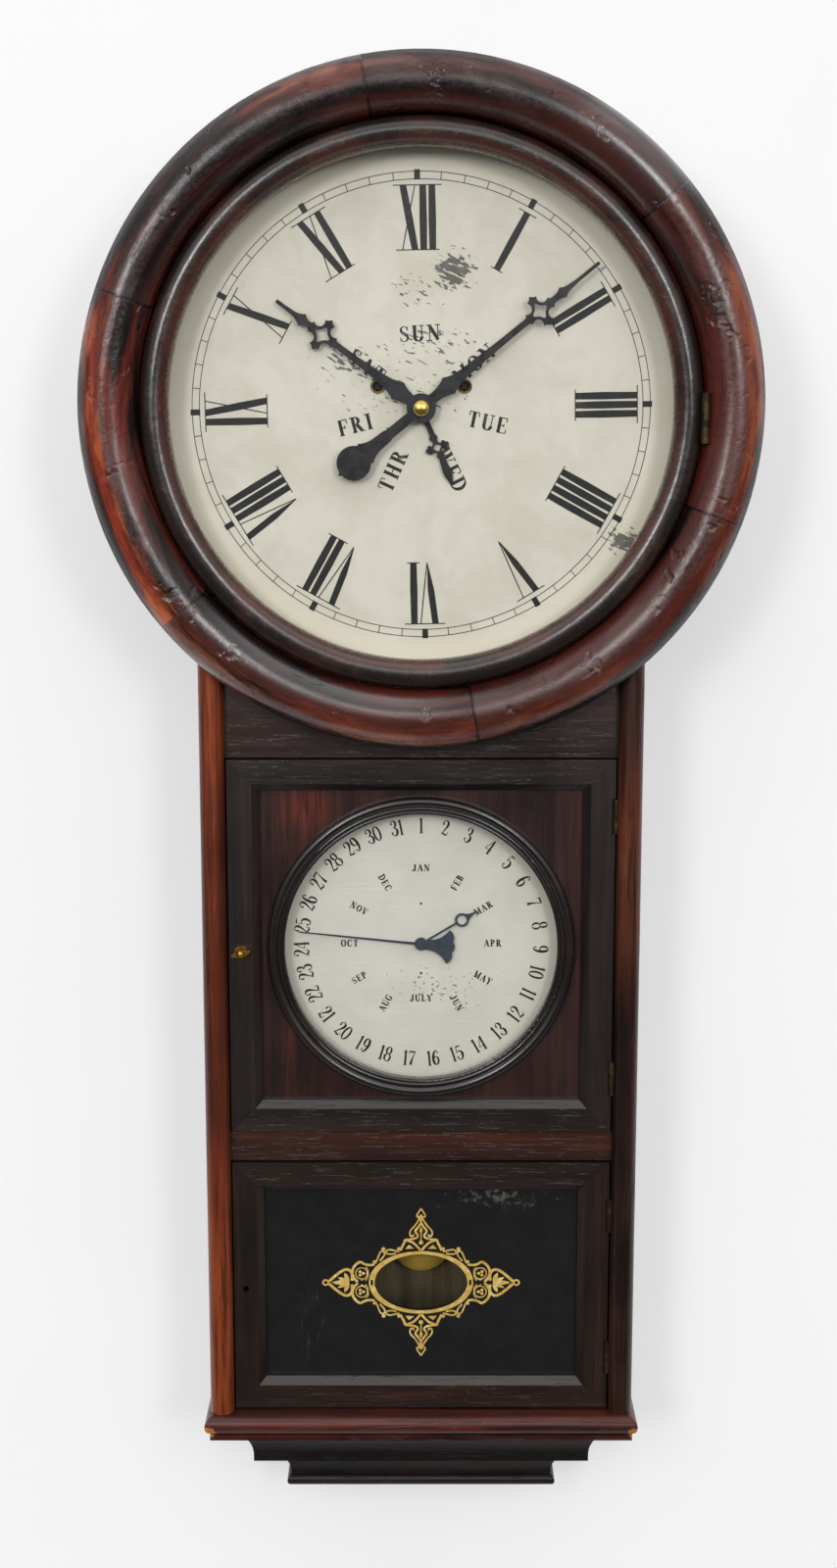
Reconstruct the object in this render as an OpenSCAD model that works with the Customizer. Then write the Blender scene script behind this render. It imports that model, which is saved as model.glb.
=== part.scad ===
// Wall-hung calendar regulator clock, in millimetres.
// X runs to the clock's right, Y into the wall and Z up. The origin is the hanger hole on the wall plane.
// Places towards the viewer are given as a depth in front of the wall.

/* [Case] */
// Top of the backboard down to the hanger hole
hanger_inset = 36; // [26:1:50]
// Width of the waist over its side panels
waist_w = 278; // [248:1:306]
// Thickness of the backboard
backboard_t = 12; // [10:0.5:16]
// Thickness of each side panel
side_t = 18; // [16.5:0.5:20]
// Depth of each side panel in front of the backboard
side_d = 66; // [64:1:76]
// Width of each half-round pilaster
pilaster_w = 15.5; // [14:0.5:16]
// Flat depth of a pilaster behind its round nose
pilaster_flat = 18; // [17:0.5:24]
// Depth of the rails above and between the doors
rail_d = 32; // [26:1:38]
// How far the rails stand behind the face of the doors
rail_setback = 2; // [0:0.5:6]
// Height of the rail between the doors
mid_rail_h = 19; // [12:1:30]
// Thickness of the board that closes the bottom of the waist
bottom_board_t = 10; // [6:0.5:16]
// Thickness of the glue line at curved or mitred seats
glue_gap = 0.1; // [0.05:0.05:0.2]

/* [Base mouldings] */
// How far the half-round stands out past each side panel
base_over_side = 3.3; // [1:0.1:8]
// How far the half-round stands out past the pilasters' noses
base_over_front = 6; // [3:0.5:12]
// Radius of the half-round
torus_r = 6.25; // [4:0.25:9]
// Step from the half-round's nose in to the fillet below it
torus_step = 3.3; // [1:0.1:5]
// Height of each plain fillet
fillet_h = 4; // [2:0.5:6]
// Step from a fillet in to the cove below it
cove_step = 2; // [0.5:0.5:4]
// Radius of the upper cove
upper_cove_r = 24.5; // [16:0.5:28]
// Radius of the lower cove
lower_cove_r = 22; // [14:0.5:24]
// Radius of the bead at the bottom
bead_r = 4; // [2:0.25:6]
// How far the bead stands out past the lower cove
bead_proud = 3; // [1:0.25:5]

/* [Head] */
// How far the head ring stands out past the drum behind it
ring_overhang = 21; // [14:0.5:26]
// Thickness of the drum's wall
drum_wall = 14; // [8:1:20]
// Width of the head ring
ring_w = 36.5; // [32:0.5:44]
// Straight depth of the ring behind its round face
ring_flat = 24; // [20:0.5:28]
// Number of veneered segments in the ring
ring_segments = 6; // [4:1:8]
// Clockwise angle from twelve o'clock of one joint between segments
ring_joint_angle = 50; // [40:1:60]
// Thickness of the board behind the dial
dial_board_t = 8; // [5:0.5:12]
// Width of the dial board from the drum's edge in to its opening
dial_board_w = 36; // [32:1:60]

/* [Dial and bezel] */
// How far the edge of the dial plate stays inside the head ring
dial_inset = 4.5; // [2:0.5:8]
// Thickness of the dial plate
dial_t = 1; // [0.6:0.1:2]
// Distance of the dial screws from the edge of the dial plate
dial_screw_inset = 6; // [4:0.5:8]
// Radius of a dial screw's shank
dial_screw_r = 1; // [0.8:0.1:1.4]
// Radius of the opening that shows the dial
dial_sight_r = 152.4; // [140:0.2:165]
// Width of the bezel
bezel_w = 17.3; // [15:0.1:22]
// Clear gap between the bezel's rim and the ring
bezel_gap = 0.8; // [0.6:0.1:1.4]
// Room between the dial and the back of the bezel
bezel_room = 14.5; // [14:0.5:20]
// Depth of the bezel from back to front
bezel_d = 18.5; // [17:0.5:22]
// Thickness of the dial glass
dial_glass_t = 2.5; // [2:0.25:3.5]
// Width of the step that the dial glass sits in
dial_glass_step = 6.4; // [4:0.2:8]
// Depth of the step that the dial glass sits in
dial_glass_seat = 4.5; // [4:0.25:6]
// Length of the bezel hinge
bezel_hinge_len = 30; // [24:1:34]
// How far the bezel hinge sits below the dial centre
bezel_hinge_drop = 6; // [0:0.5:8]

/* [Doors] */
// Height of the top rail that shows below the head ring
rail_show = 9; // [6:0.5:30]
// Height of the upper door
upper_door_h = 244; // [216:1:280]
// Height of the lower door
lower_door_h = 170; // [150:1:220]
// Thickness of the doors
door_t = 16; // [15:0.5:20]
// Clear gap around each door
door_gap = 1; // [0.8:0.1:1.6]
// Clear gap between a closed door and the edge it closes on
door_seat = 0.3; // [0.2:0.1:0.6]
// Width of the door rails, with the bevel
rail_w = 20; // [18:0.5:21]
// Width of the bevel along the inner edge of a door rail
bevel_w = 4.5; // [2:0.25:6]
// Depth of that bevel
bevel_d = 4.8; // [2:0.2:6]
// Depth of the panel's face below the door's face
panel_sink = 8.3; // [7:0.1:9]
// Width of the rebate that holds the panel and the glass
rebate_w = 6; // [4:0.5:8]
// Thickness of the upper door's panel
panel_t = 6; // [4:0.5:7]
// Thickness of the lower door's glass
tablet_t = 3; // [2:0.25:4]
// Depth of the beads that hold the lower door's glass
bead_d = 4; // [2:0.25:4.5]
// Play of panel and glass in their rebates
panel_play = 0.3; // [0.1:0.1:0.8]
// Radius of the bare knob hole in the lower door
knob_hole_r = 2; // [1:0.25:4]
// Height of the bare knob hole above the foot of the lower door
knob_hole_up = 83; // [50:1:110]

/* [Hinges and latch] */
// Length of a door hinge
door_hinge_len = 22; // [16:1:30]
// Distance of a door hinge's middle from the end of its door
hinge_inset = 36; // [24:1:50]
// Radius of a hinge knuckle
knuckle_r = 2.4; // [2.2:0.1:2.8]
// Radius of a hinge pin
hinge_pin_r = 0.9; // [0.6:0.05:1.1]
// How far a hinge axis stands in front of the face it opens
hinge_proud = 0.6; // [0.5:0.1:1.2]
// Thickness of a door hinge's leaf
door_leaf_t = 1.5; // [1:0.1:2]
// Thickness of the bezel hinge's leaf
bezel_leaf_t = 2; // [1.5:0.1:2.4]
// Depth of a hinge leaf behind the axis
leaf_d = 13; // [9:0.5:14]
// Height of the latch above the foot of the upper door
latch_up = 120; // [80:1:160]
// Radius of the latch spindle
latch_r = 2; // [1.5:0.1:2.5]
// Length of the latch tongue from the spindle's axis
latch_reach = 12.5; // [11:0.5:14]
// Room between the door's back and the latch tongue
latch_room = 6; // [4:0.5:8]
// Anticlockwise tilt of the latch's wings as seen from the front
latch_tilt = 15; // [0:1:20]
// Running clearance on each side of a shaft
run_gap = 0.05; // [0.02:0.01:0.08]
// Clear gap round a seated metal fitting
fit_gap = 0.1; // [0.05:0.05:0.2]

/* [Calendar] */
// How far the calendar's centre sits below the middle of its door
calendar_lower = 1; // [0:0.5:2]
// Margin between the calendar bezel and the door's rails
calendar_margin = 3.5; // [2.5:0.5:10]
// Width of the calendar bezel
calendar_bezel_w = 11.3; // [10.5:0.1:14]
// Width of the calendar bezel's flange on the panel
calendar_flange_w = 6.5; // [4:0.5:7]
// How far the calendar dial runs on behind the bezel
calendar_cover = 10.8; // [4:0.2:12]
// Thickness of the calendar glass
calendar_glass_t = 2; // [1.5:0.25:3]
// Thickness of the calendar board
calendar_board_t = 8; // [6:0.5:12]
// How much shorter the calendar board is than the upper door
calendar_board_short = 20; // [18:1:40]
// Depth of the calendar dial's face behind the doors
calendar_sink = 2; // [1.5:0.25:3]
// Teeth of the date wheel, one for each day
date_teeth = 31; // [31:1:31]
// Radius of the date wheel
date_wheel_r = 32; // [20:1:40]
// Radius of the month wheel
month_wheel_r = 22; // [14:1:30]

/* [Movement] */
// Room for the pendulum between the backboard and the back plate
pendulum_room = 24; // [23:0.5:30]
// Distance between the movement's plates
plate_gap = 28; // [28:0.5:32]
// Thickness of the movement's plates
plate_t = 2; // [1.5:0.25:3]
// Room for the motion work between the front plate and the dial
motion_room = 16; // [16:0.5:20]
// Sideways distance of each winding arbor from the centre
winding_x = 26.6; // [26:0.1:28]
// Height of the winding arbors above the centre
winding_z = 13.2; // [12:0.1:14.5]
// Radius of a winding arbor
winding_r = 3; // [2.5:0.1:3.2]
// Side of the winding square
winding_square = 3.8; // [3:0.1:4]
// Teeth of each great wheel
great_teeth = 84; // [84:1:84]
// Trundles of the centre pinion
centre_trundles = 7; // [7:1:7]
// Teeth of the centre wheel and of the third wheel
train_teeth = 60; // [60:1:60]
// Trundles of the third and escape pinions
train_trundles = 8; // [8:1:8]
// Module of the centre wheel's teeth
centre_module = 0.8; // [0.78:0.01:0.82]
// Module of the third wheel's teeth
third_module = 0.6; // [0.58:0.01:0.62]
// Teeth of the escape wheel
escape_teeth = 40; // [30:1:42]
// Radius of the escape wheel
escape_r = 14; // [12:0.5:14]
// Turns in each mainspring
spring_turns = 8; // [5:1:8]
// Thickness of the mainspring strip
spring_t = 0.6; // [0.4:0.1:0.9]
// Step from one turn of the mainspring to the next
spring_step = 2.1; // [1.6:0.1:2.1]

/* [Pendulum] */
// Height of the suspension above the dial centre
suspension_rise = 68; // [67.5:0.5:70]
// Top of the lower door down to the middle of the bob
bob_drop = 82; // [60:1:90]
// Radius of the bob
bob_r = 21; // [16:0.5:26]
// Thickness of the bob
bob_t = 17; // [10:0.5:18]
// Radius of the rod
rod_r = 1.6; // [1.2:0.1:2]
// Radius of the rating nut
rating_nut_r = 4.5; // [3:0.25:4.8]

/* [Hands] */
// Clear gap between one hand and the next
hand_gap = 1.8; // [1.4:0.1:2]
// Thickness of the main hands
hand_t = 1; // [0.6:0.1:1.2]
// How far the minute hand stops short of the dial's sight edge
minute_short = 14.4; // [10:0.2:24]
// Length of the hour hand
hour_l = 109; // [95:1:115]
// Length of the day hand
day_l = 50; // [44:1:56]
// Centre of the minute hand's counterweight from the axis
tail_l = 53; // [46:1:58]
// Radius of the counterweight
tail_r = 10.6; // [8:0.2:12]
// Radius of the boss in the main hands
boss_r = 9; // [8:0.25:10]
// Radius of the brass nut on the hands
hand_nut_r = 4.7; // [3.5:0.1:6]
// Clockwise angle of the minute hand
minute_angle = 51.2; // [0:0.1:360]
// Clockwise angle of the hour hand
hour_angle = 306.1; // [0:0.1:360]
// Clockwise angle of the day hand
day_angle = 157.4; // [0:0.1:360]
// How far the date hand stops short of the calendar's sight edge
date_short = 8.2; // [4:0.2:16]
// Length of the month hand
month_l = 42; // [36:1:50]
// Thickness of the calendar hands
calendar_hand_t = 0.7; // [0.5:0.05:0.8]
// Clockwise angle of the date hand
date_angle = 275.9; // [0:0.1:360]
// Clockwise angle of the month hand
month_angle = 59.2; // [0:0.1:360]

/* [Hidden] */
$fn = 96;
far = 400;
half_w = waist_w / 2;
inner_hw = half_w - side_t;
bay_hw = half_w - pilaster_w;
side_front = backboard_t + side_d;
nose_front = side_front + pilaster_flat + pilaster_w / 2;

// Head, from the dial's sight edge outwards
bezel_r = dial_sight_r + bezel_w;
ring_in_r = bezel_r + bezel_gap;
ring_r = ring_in_r + ring_w;
head_r = ring_r - ring_overhang;
dial_r = ring_in_r - dial_inset;
dial_screw_circle = dial_r - dial_screw_inset;
dial_board_open_r = head_r - dial_board_w;
dial_z = hanger_inset - head_r;

// Heights of the doors and rails
bay_top = dial_z - ring_r - rail_show;
upper_door_top = bay_top - door_gap;
upper_door_foot = upper_door_top - upper_door_h;
mid_rail_top = upper_door_foot - door_gap;
mid_rail_foot = mid_rail_top - mid_rail_h;
lower_door_top = mid_rail_foot - door_gap;
lower_door_foot = lower_door_top - lower_door_h;
base_top = lower_door_foot - door_gap;

// Door section
door_hw = bay_hw - door_gap;
door_back = side_front + door_seat;
door_front = door_back + door_t;
panel_front = door_front - panel_sink;
rail_front = door_front - rail_setback;
panel_hw = door_hw - rail_w + rebate_w - panel_play;
stile_mid = door_hw - (rail_w - bevel_w) / 2;
latch_z = upper_door_foot + latch_up;
knob_hole_z = lower_door_foot + knob_hole_up;
tongue_w = 5;
tongue_t = 2;
tongue_play = 1.5;
tongue_back = door_back - latch_room - tongue_t;

// Base mouldings: inset of each edge from the half-round's nose, and heights
base_hw = half_w + base_over_side;
base_front = nose_front + base_over_front;
torus_foot = base_top - 2 * torus_r - fillet_h;
upper_cove_inset = torus_step + cove_step;
upper_cove_foot = torus_foot - upper_cove_r - fillet_h;
upper_fillet_inset = upper_cove_inset + upper_cove_r;
lower_cove_inset = upper_fillet_inset + cove_step;
bead_inset = lower_cove_inset + lower_cove_r - bead_proud;
lower_cove_foot = upper_cove_foot - lower_cove_r - 2 * bead_r;

// Depths of the movement, the dial and the bezel
back_plate = backboard_t + pendulum_room;
plates_back = back_plate + plate_t;
plates_front = plates_back + plate_gap;
front_plate_face = plates_front + plate_t;
dial_back = front_plate_face + motion_room;
dial_face = dial_back + dial_t;
drum_front = dial_back - dial_board_t;
ring_round = (ring_r - ring_in_r) / 2;
ring_crest = dial_back + ring_flat + ring_round;
bezel_back = dial_face + bezel_room;
bezel_front = bezel_back + bezel_d;
bezel_round = bezel_w / 2;
bezel_glass_face = bezel_back + dial_glass_seat;
dial_glass_r = dial_sight_r + dial_glass_step;

// Hinge axes and heights
door_axis_x = bay_hw - door_gap / 2;
door_axis = door_front + hinge_proud;
bezel_axis_x = ring_in_r - bezel_gap / 2;
bezel_axis = bezel_front + hinge_proud;
bezel_hinge_z = dial_z - bezel_hinge_drop;
upper_hinges = [upper_door_foot + hinge_inset, upper_door_top - hinge_inset];
lower_hinges = [lower_door_foot + hinge_inset, lower_door_top - hinge_inset];

// Hands, from the dial outwards
minute_l = dial_sight_r - minute_short;
day_back = dial_face + hand_gap;
hour_back = day_back + hand_t + hand_gap;
minute_back = hour_back + hand_t + hand_gap;
nut_back = minute_back + hand_t;
nut_d = 4.5;
centre_end = nut_back + 3;
centre_r = 1.5;
cannon_r = 2.6;
hour_pipe_r = 4;
day_pipe_r = 5.6;
hand_fit = 0.03;
collet_t = 0.4;
collet_wall = 1.8;

// Calendar sizes and depths
calendar_z = (upper_door_top + upper_door_foot) / 2 - calendar_lower;
calendar_bezel_r = min(door_hw, upper_door_h / 2) - rail_w - calendar_margin;
calendar_neck_r = calendar_bezel_r - calendar_flange_w;
calendar_sight_r = calendar_bezel_r - calendar_bezel_w;
calendar_r = calendar_sight_r + calendar_cover;
date_l = calendar_sight_r - date_short;
calendar_board_h = upper_door_h - calendar_board_short;
calendar_face = side_front - calendar_sink;
calendar_dial_t = 1;
calendar_board_face = calendar_face - calendar_dial_t;
calendar_board_back = calendar_board_face - calendar_board_t;
month_back = calendar_face + 1.2;
date_back = month_back + calendar_hand_t + 0.8;
date_cap = 0.8;
date_r = 1.2;
month_pipe_r = 2.4;
month_wheel_back = calendar_board_back - 3.5;
date_wheel_back = month_wheel_back - 3.5;
calendar_wheel_t = 1.5;
calendar_neck_back = panel_front - panel_t;
calendar_lip = panel_front - 2;

// Wheel work: tooth forms as addendum, dedendum and widths at pitch, root and tip, in modules
wheel_tooth = [1, 1.5, 1.1, 1.25, 0.4];
motion_tooth = [0.8, 1.3, 1.3, 1.7, 0.6];
leaf_tooth = [0.8, 1.3, 1.25, 1.3, 0.6];
trundle_share = 0.55;
cap_share = 1.1;
wheel_t = 1.6;
cap_t = 0.9;
pivot_r = 0.7;
train_r = 1.2;
winding_reach = norm([winding_x, winding_z]);
great_module = 2 * winding_reach / (great_teeth + centre_trundles);
great_z = dial_z + winding_z;
third_z = dial_z + centre_module * (train_teeth + train_trundles) / 2;
escape_z = third_z + third_module * (train_teeth + train_trundles) / 2;
verge_z = dial_z + suspension_rise;
great_left_back = plates_back + 3;
great_right_back = great_left_back + wheel_t + 1.4;
centre_pinion_back = plates_back + 1.2;
centre_pinion_d = great_right_back + wheel_t + 1.6 - centre_pinion_back;
third_wheel_back = great_right_back + wheel_t + 2.6;
escape_wheel_back = plates_back + 3;
spring_back = third_wheel_back + wheel_t + 1;
spring_front = plates_front - 5;
centre_wheel_back = plates_front - 3.8;
third_pinion_back = centre_wheel_back - 1.6;
third_pinion_d = wheel_t + 2.8;
escape_pinion_back = third_wheel_back - 1.6;
escape_pinion_d = wheel_t + 3;

// Motion work
cannon_teeth = 12;
minute_teeth = 36;
hour_teeth = 40;
minute_leaves = 10;
cannon_module = 0.5;
motion_reach = cannon_module * (cannon_teeth + minute_teeth) / 2;
hour_module = 2 * motion_reach / (hour_teeth + minute_leaves);
minute_wheel_z = dial_z - motion_reach;
cannon_back = front_plate_face + 1;
cannon_d = 2.5;
minute_wheel_back = front_plate_face + 1.5;
motion_t = 1.2;
minute_leaf_back = minute_wheel_back + motion_t;
minute_leaf_d = 4;
hour_wheel_back = minute_leaf_back + 1.5;
day_star_back = minute_leaf_back + minute_leaf_d + 1.6;
day_star_r = 12;
day_notch_r = 8.2;
week_days = 7;

// Plates and posts
plate_hw = 50;
plate_foot = -30;
plate_top = 84;
plate_round = 6;
window_x = 24;
window_z = -16;
window_w = 22;
window_h = 14;
post_x = 43;
post_low = -23;
post_high = 77;
post_r = 3;
foot_r = 4;
spigot_r = 2;

// Pendulum
pendulum_back = backboard_t + pendulum_room * 0.62;
bob_z = lower_door_top - bob_drop;
stirrup_hw = 7;
stirrup_h = 22;
stirrup_bar = 3;
stirrup_t = 4;
stirrup_foot = bob_z + bob_r + 6;
stirrup_top = stirrup_foot + stirrup_h;
stem_r = 1.5;
stem_short = 4;
nut_lift = 0.15;
rating_nut_h = 4;
notch_r = 0.8;
notch_out = 0.3;
hook_r = 4;
suspension_pin_r = 1.5;
hook_t = 3;
cock_hw = 11;
cock_wall = 3;
cock_bridge = 2.5;
cock_back = pendulum_back - 5;
cock_below = 6;
cock_above = 8;
crutch_l = 55;
crutch_w = 4;
crutch_t = 1.6;
crutch_back = back_plate - 3.6;
prong_t = 1.5;
prong_play = 0.2;
anchor_clear = 1.4;
anchor_w = 2.2;
anchor_span = 52;

// A flat piece: the outline in X and Z, from depth back forwards by t
module slab(back, t) {
    translate([0, -back, 0]) rotate([90, 0, 0]) linear_extrude(t) children();
}

// A round bar along the depth axis
module bar(x, z, back, d, r) {
    translate([x, -back, z]) rotate([90, 0, 0]) cylinder(r = r, h = d);
}

// A turned piece about a depth axis: the outline in radius and depth
module turned(x, z) {
    translate([x, 0, z]) rotate([90, 0, 0]) rotate_extrude() children();
}

// An upright bar
module upright(x, depth, z, h, r) {
    translate([x, -depth, z]) cylinder(r = r, h = h);
}

// A block between two depths, given by its X and Z limits
module block(x0, x1, back, front, z0, z1) {
    translate([x0, -front, z0]) cube([x1 - x0, front - back, z1 - z0]);
}

// A rectangle with round corners
module round_rect(x0, z0, x1, z1, r) {
    translate([x0 + r, z0]) square([x1 - x0 - 2 * r, z1 - z0]);
    translate([x0, z0 + r]) square([x1 - x0, z1 - z0 - 2 * r]);
    for (x = [x0 + r, x1 - r], z = [z0 + r, z1 - r]) translate([x, z]) circle(r);
}

// A hand: its outline, drawn pointing up, at a clockwise angle on its axis, with a collet behind and a bore
module hand(z, back, t, angle, collet_r, bore) {
    difference() {
        union() {
            translate([0, 0, z]) slab(back, t) rotate(-angle) children();
            bar(0, z, back - collet_t, collet_t + t, collet_r);
        }
        bar(0, z, 0, far, bore + hand_fit);
    }
}

// Wheel work
function tooth_point(r, w, side, a) = let (b = a + side * asin(w / 2 / r)) [r * cos(b), r * sin(b)];

function tooth(a, r, m, form) = [
    tooth_point(r - form[1] * m, form[3] * m, -1, a),
    tooth_point(r, form[2] * m, -1, a),
    tooth_point(r + form[0] * m, form[4] * m, -1, a),
    tooth_point(r + form[0] * m, form[4] * m, 1, a),
    tooth_point(r, form[2] * m, 1, a),
    tooth_point(r - form[1] * m, form[3] * m, 1, a)
];

function gear_points(n, m, form) = [for (k = [0 : n - 1]) each tooth(360 * k / n, n * m / 2, m, form)];

// Teeth that lean one way, as on a ratchet or an escape wheel
function saw_points(n, r, depth) = [
    for (k = [0 : n - 1]) each [
        r * [cos(360 * k / n), sin(360 * k / n)],
        (r - depth) * [cos(360 * (k + 0.25) / n), sin(360 * (k + 0.25) / n)]
    ]
];

// Angle of a wheel whose tooth meets the gap of a pinion that lies in direction dir from it
function wheel_turn(dir, n_wheel, n_pinion, pinion_turn) =
    let (gap = pinion_turn + 180 / n_pinion - (dir + 180)) dir - gap * n_pinion / n_wheel;

// Angle of a pinion in direction dir from a wheel that stands at an angle
function pinion_turn(dir, n_wheel, n_pinion, wheel_angle) =
    dir + 180 - 180 / n_pinion + (dir - wheel_angle) * n_wheel / n_pinion;

// Spokes: what is cut out of a wheel between its hub and rim
module crossings(hub, rim, arms, arm_w) {
    difference() {
        circle(rim);
        circle(hub);
        for (k = [0 : arms - 1]) rotate(360 * k / arms) translate([0, -arm_w / 2]) square([rim + 1, arm_w]);
    }
}

module wheel(z, back, n, m, turn, form, hub, arms) {
    translate([0, 0, z]) slab(back, wheel_t) rotate(turn) difference() {
        polygon(gear_points(n, m, form));
        crossings(hub, n * m / 2 - 4 * m, arms, 2.4);
    }
}

// A lantern pinion: two caps with trundles between them
module lantern(z, back, d, n, m, turn) {
    cap_r = (n / 2 + cap_share) * m;
    for (b = [back, back + d - cap_t]) bar(0, z, b, cap_t, cap_r);
    for (k = [0 : n - 1]) {
        a = turn + 360 * k / n;
        pitch_r = n * m / 2;
        bar(pitch_r * cos(a), z + pitch_r * sin(a), back + cap_t / 2, d - cap_t, trundle_share * m, $fn = 12);
    }
}

// Hinges: side 1 is fixed to the case, side -1 moves; three knuckles share the length
module knuckle_span(x, depth, z, len, side, r, play) {
    spans = side > 0 ? [[0, 1], [2, 3]] : [[1, 2]];
    third = len / 3;
    for (s = spans)
        upright(x, depth, z - len / 2 + s[0] * third - play, (s[1] - s[0]) * third + 2 * play, r);
}

module hinge_leaf(x, depth, z, len, side, edge, t) {
    difference() {
        union() {
            block(min(x + side * edge, x + side * (edge + t)), max(x + side * edge, x + side * (edge + t)),
                depth - leaf_d, depth, z - len / 2, z + len / 2);
            knuckle_span(x, depth, z, len, side, knuckle_r, -fit_gap);
        }
        knuckle_span(x, depth, z, len, -side, knuckle_r + 2 * fit_gap, fit_gap);
        upright(x, depth, z - len, 2 * len, hinge_pin_r + run_gap);
    }
}

// What a hinge needs cut away on one side of its axis
module hinge_room(x, depth, z, len, side, edge, t) {
    reach = x + side * (edge + t + fit_gap);
    block(min(x - side * knuckle_r, reach), max(x - side * knuckle_r, reach),
        depth - leaf_d - fit_gap, depth + knuckle_r, z - len / 2 - fit_gap, z + len / 2 + fit_gap);
    upright(x, depth, z - len / 2 - fit_gap, len + 2 * fit_gap, knuckle_r + 3 * fit_gap);
}

module door_hinge_leaves(heights, side) {
    for (z = heights) hinge_leaf(door_axis_x, door_axis, z, door_hinge_len, side, door_gap / 2, door_leaf_t);
}

module door_hinge_room(heights, side) {
    for (z = heights) hinge_room(door_axis_x, door_axis, z, door_hinge_len, side, door_gap / 2, door_leaf_t);
}

// Case

module backboard() {
    color("#4a2a1c") difference() {
        slab(0, backboard_t) {
            translate([0, dial_z]) circle(head_r);
            translate([-half_w, base_top]) square([waist_w, dial_z - base_top]);
        }
        slab(-1, 1 + hanger_t + fit_gap) hanger_outline(fit_gap);
        bar(0, 0, 0, hanger_pocket_d, hanger_pocket_r);
    }
}

hanger_t = 2;
hanger_hw = 14;
hanger_up = 18;
hanger_hole_r = 3.5;
hanger_pocket_r = 8;
hanger_pocket_d = 9;

module hanger_outline(grow) {
    round_rect(-hanger_hw - grow, -hanger_up - grow, hanger_hw + grow, hanger_up + grow, 3);
}

module hanger_plate() {
    color("#8a8a88") slab(0, hanger_t) difference() {
        hanger_outline(0);
        circle(hanger_hole_r);
    }
}

module side_panel() {
    difference() {
        block(inner_hw, half_w, backboard_t, side_front, base_top, dial_z);
        bar(0, dial_z, -1, far, head_r + glue_gap);
    }
}

module side_panel_left() {
    color("#5a2a1a") difference() {
        mirror([1, 0, 0]) side_panel();
        block(-stile_mid - latch_reach - tongue_play, -inner_hw + 1, tongue_back - tongue_play,
            tongue_back + tongue_t + tongue_play, latch_z - latch_reach - tongue_play, latch_z + tongue_w);
    }
}

module side_panel_right() {
    color("#5a2a1a") side_panel();
}

module pilaster() {
    difference() {
        translate([0, 0, base_top]) linear_extrude(dial_z - base_top) {
            translate([bay_hw, -side_front - pilaster_flat]) square([pilaster_w, pilaster_flat]);
            translate([bay_hw + pilaster_w / 2, -side_front - pilaster_flat]) circle(pilaster_w / 2);
        }
        bar(0, dial_z, -1, far, ring_r + glue_gap);
    }
}

module pilaster_left() {
    color("#7c2d18") mirror([1, 0, 0]) pilaster();
}

module pilaster_right() {
    color("#6a2717") difference() {
        pilaster();
        door_hinge_room(concat(upper_hinges, lower_hinges), 1);
    }
}

module head_drum() {
    color("#4a2418") translate([0, 0, dial_z]) slab(backboard_t, drum_front - backboard_t) difference() {
        circle(head_r);
        circle(head_r - drum_wall);
        translate([-inner_hw + drum_wall, -head_r - 1]) square([2 * (inner_hw - drum_wall), head_r / 2]);
    }
}

// The half-round section of the head ring, in radius and depth
module ring_section() {
    translate([ring_in_r, dial_back]) square([ring_r - ring_in_r, ring_flat]);
    translate([ring_in_r + ring_round, dial_back + ring_flat]) circle(ring_round);
}

module head_ring() {
    span = 360 / ring_segments;
    slack = glue_gap / ring_r * 180 / PI;
    color("#5b2012") difference() {
        for (k = [0 : ring_segments - 1]) {
            start = 90 - ring_joint_angle - (k + 1) * span + slack / 2;
            translate([0, 0, dial_z]) rotate([90, 0, 0]) rotate(start)
                rotate_extrude(angle = span - slack) ring_section();
        }
        hinge_room(bezel_axis_x, bezel_axis, bezel_hinge_z, bezel_hinge_len, 1, bezel_gap / 2, bezel_leaf_t);
    }
}

module dial_board() {
    color("#6b4a2e") difference() {
        translate([0, 0, dial_z]) slab(drum_front, dial_board_t) difference() {
            circle(head_r);
            circle(dial_board_open_r);
        }
        dial_screw_places() bar(0, 0, drum_front, far, dial_screw_r + hand_fit);
    }
}

module rail(z0, z1) {
    block(-inner_hw, inner_hw, rail_front - rail_d, side_front, z0, z1);
    block(-bay_hw, bay_hw, side_front, rail_front, z0, z1);
}

module top_rail() {
    color("#3a1c12") difference() {
        rail(bay_top, dial_z);
        bar(0, dial_z, -1, far, head_r + glue_gap);
        bar(0, dial_z, dial_back - 1, far, ring_r + glue_gap);
    }
}

module mid_rail() {
    color("#3f1d12") rail(mid_rail_foot, mid_rail_top);
}

module bottom_board() {
    color("#4a2a1c") block(-inner_hw, inner_hw, backboard_t, side_front, base_top, base_top + bottom_board_t);
}

// A moulding returned along the front and both ends: the outline ends at X 0, its nose line, and stands on 0
module returned(z) {
    intersection() {
        slab(0, base_front + 1) intersection() {
            translate([base_hw, z]) children();
            mirror([1, 0]) translate([base_hw, z]) children();
        }
        translate([-base_hw - 1, 0, 0]) rotate([90, 0, 90]) linear_extrude(2 * base_hw + 2)
            mirror([1, 0]) translate([base_front, z]) children();
    }
}

module moulding_step(inset, z, h) {
    translate([-2 * base_hw, z]) square([2 * base_hw - inset, h]);
}

module base_half_round() {
    color("#6a2416") returned(torus_foot) {
        moulding_step(torus_step, 0, fillet_h);
        moulding_step(torus_r, fillet_h, 2 * torus_r);
        translate([-torus_r, fillet_h + torus_r]) circle(torus_r);
    }
}

module base_upper_cove() {
    color("#2a1712") returned(upper_cove_foot) {
        moulding_step(upper_fillet_inset, 0, fillet_h);
        difference() {
            moulding_step(upper_cove_inset, fillet_h, upper_cove_r);
            translate([-upper_cove_inset, fillet_h]) circle(upper_cove_r);
        }
    }
}

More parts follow.
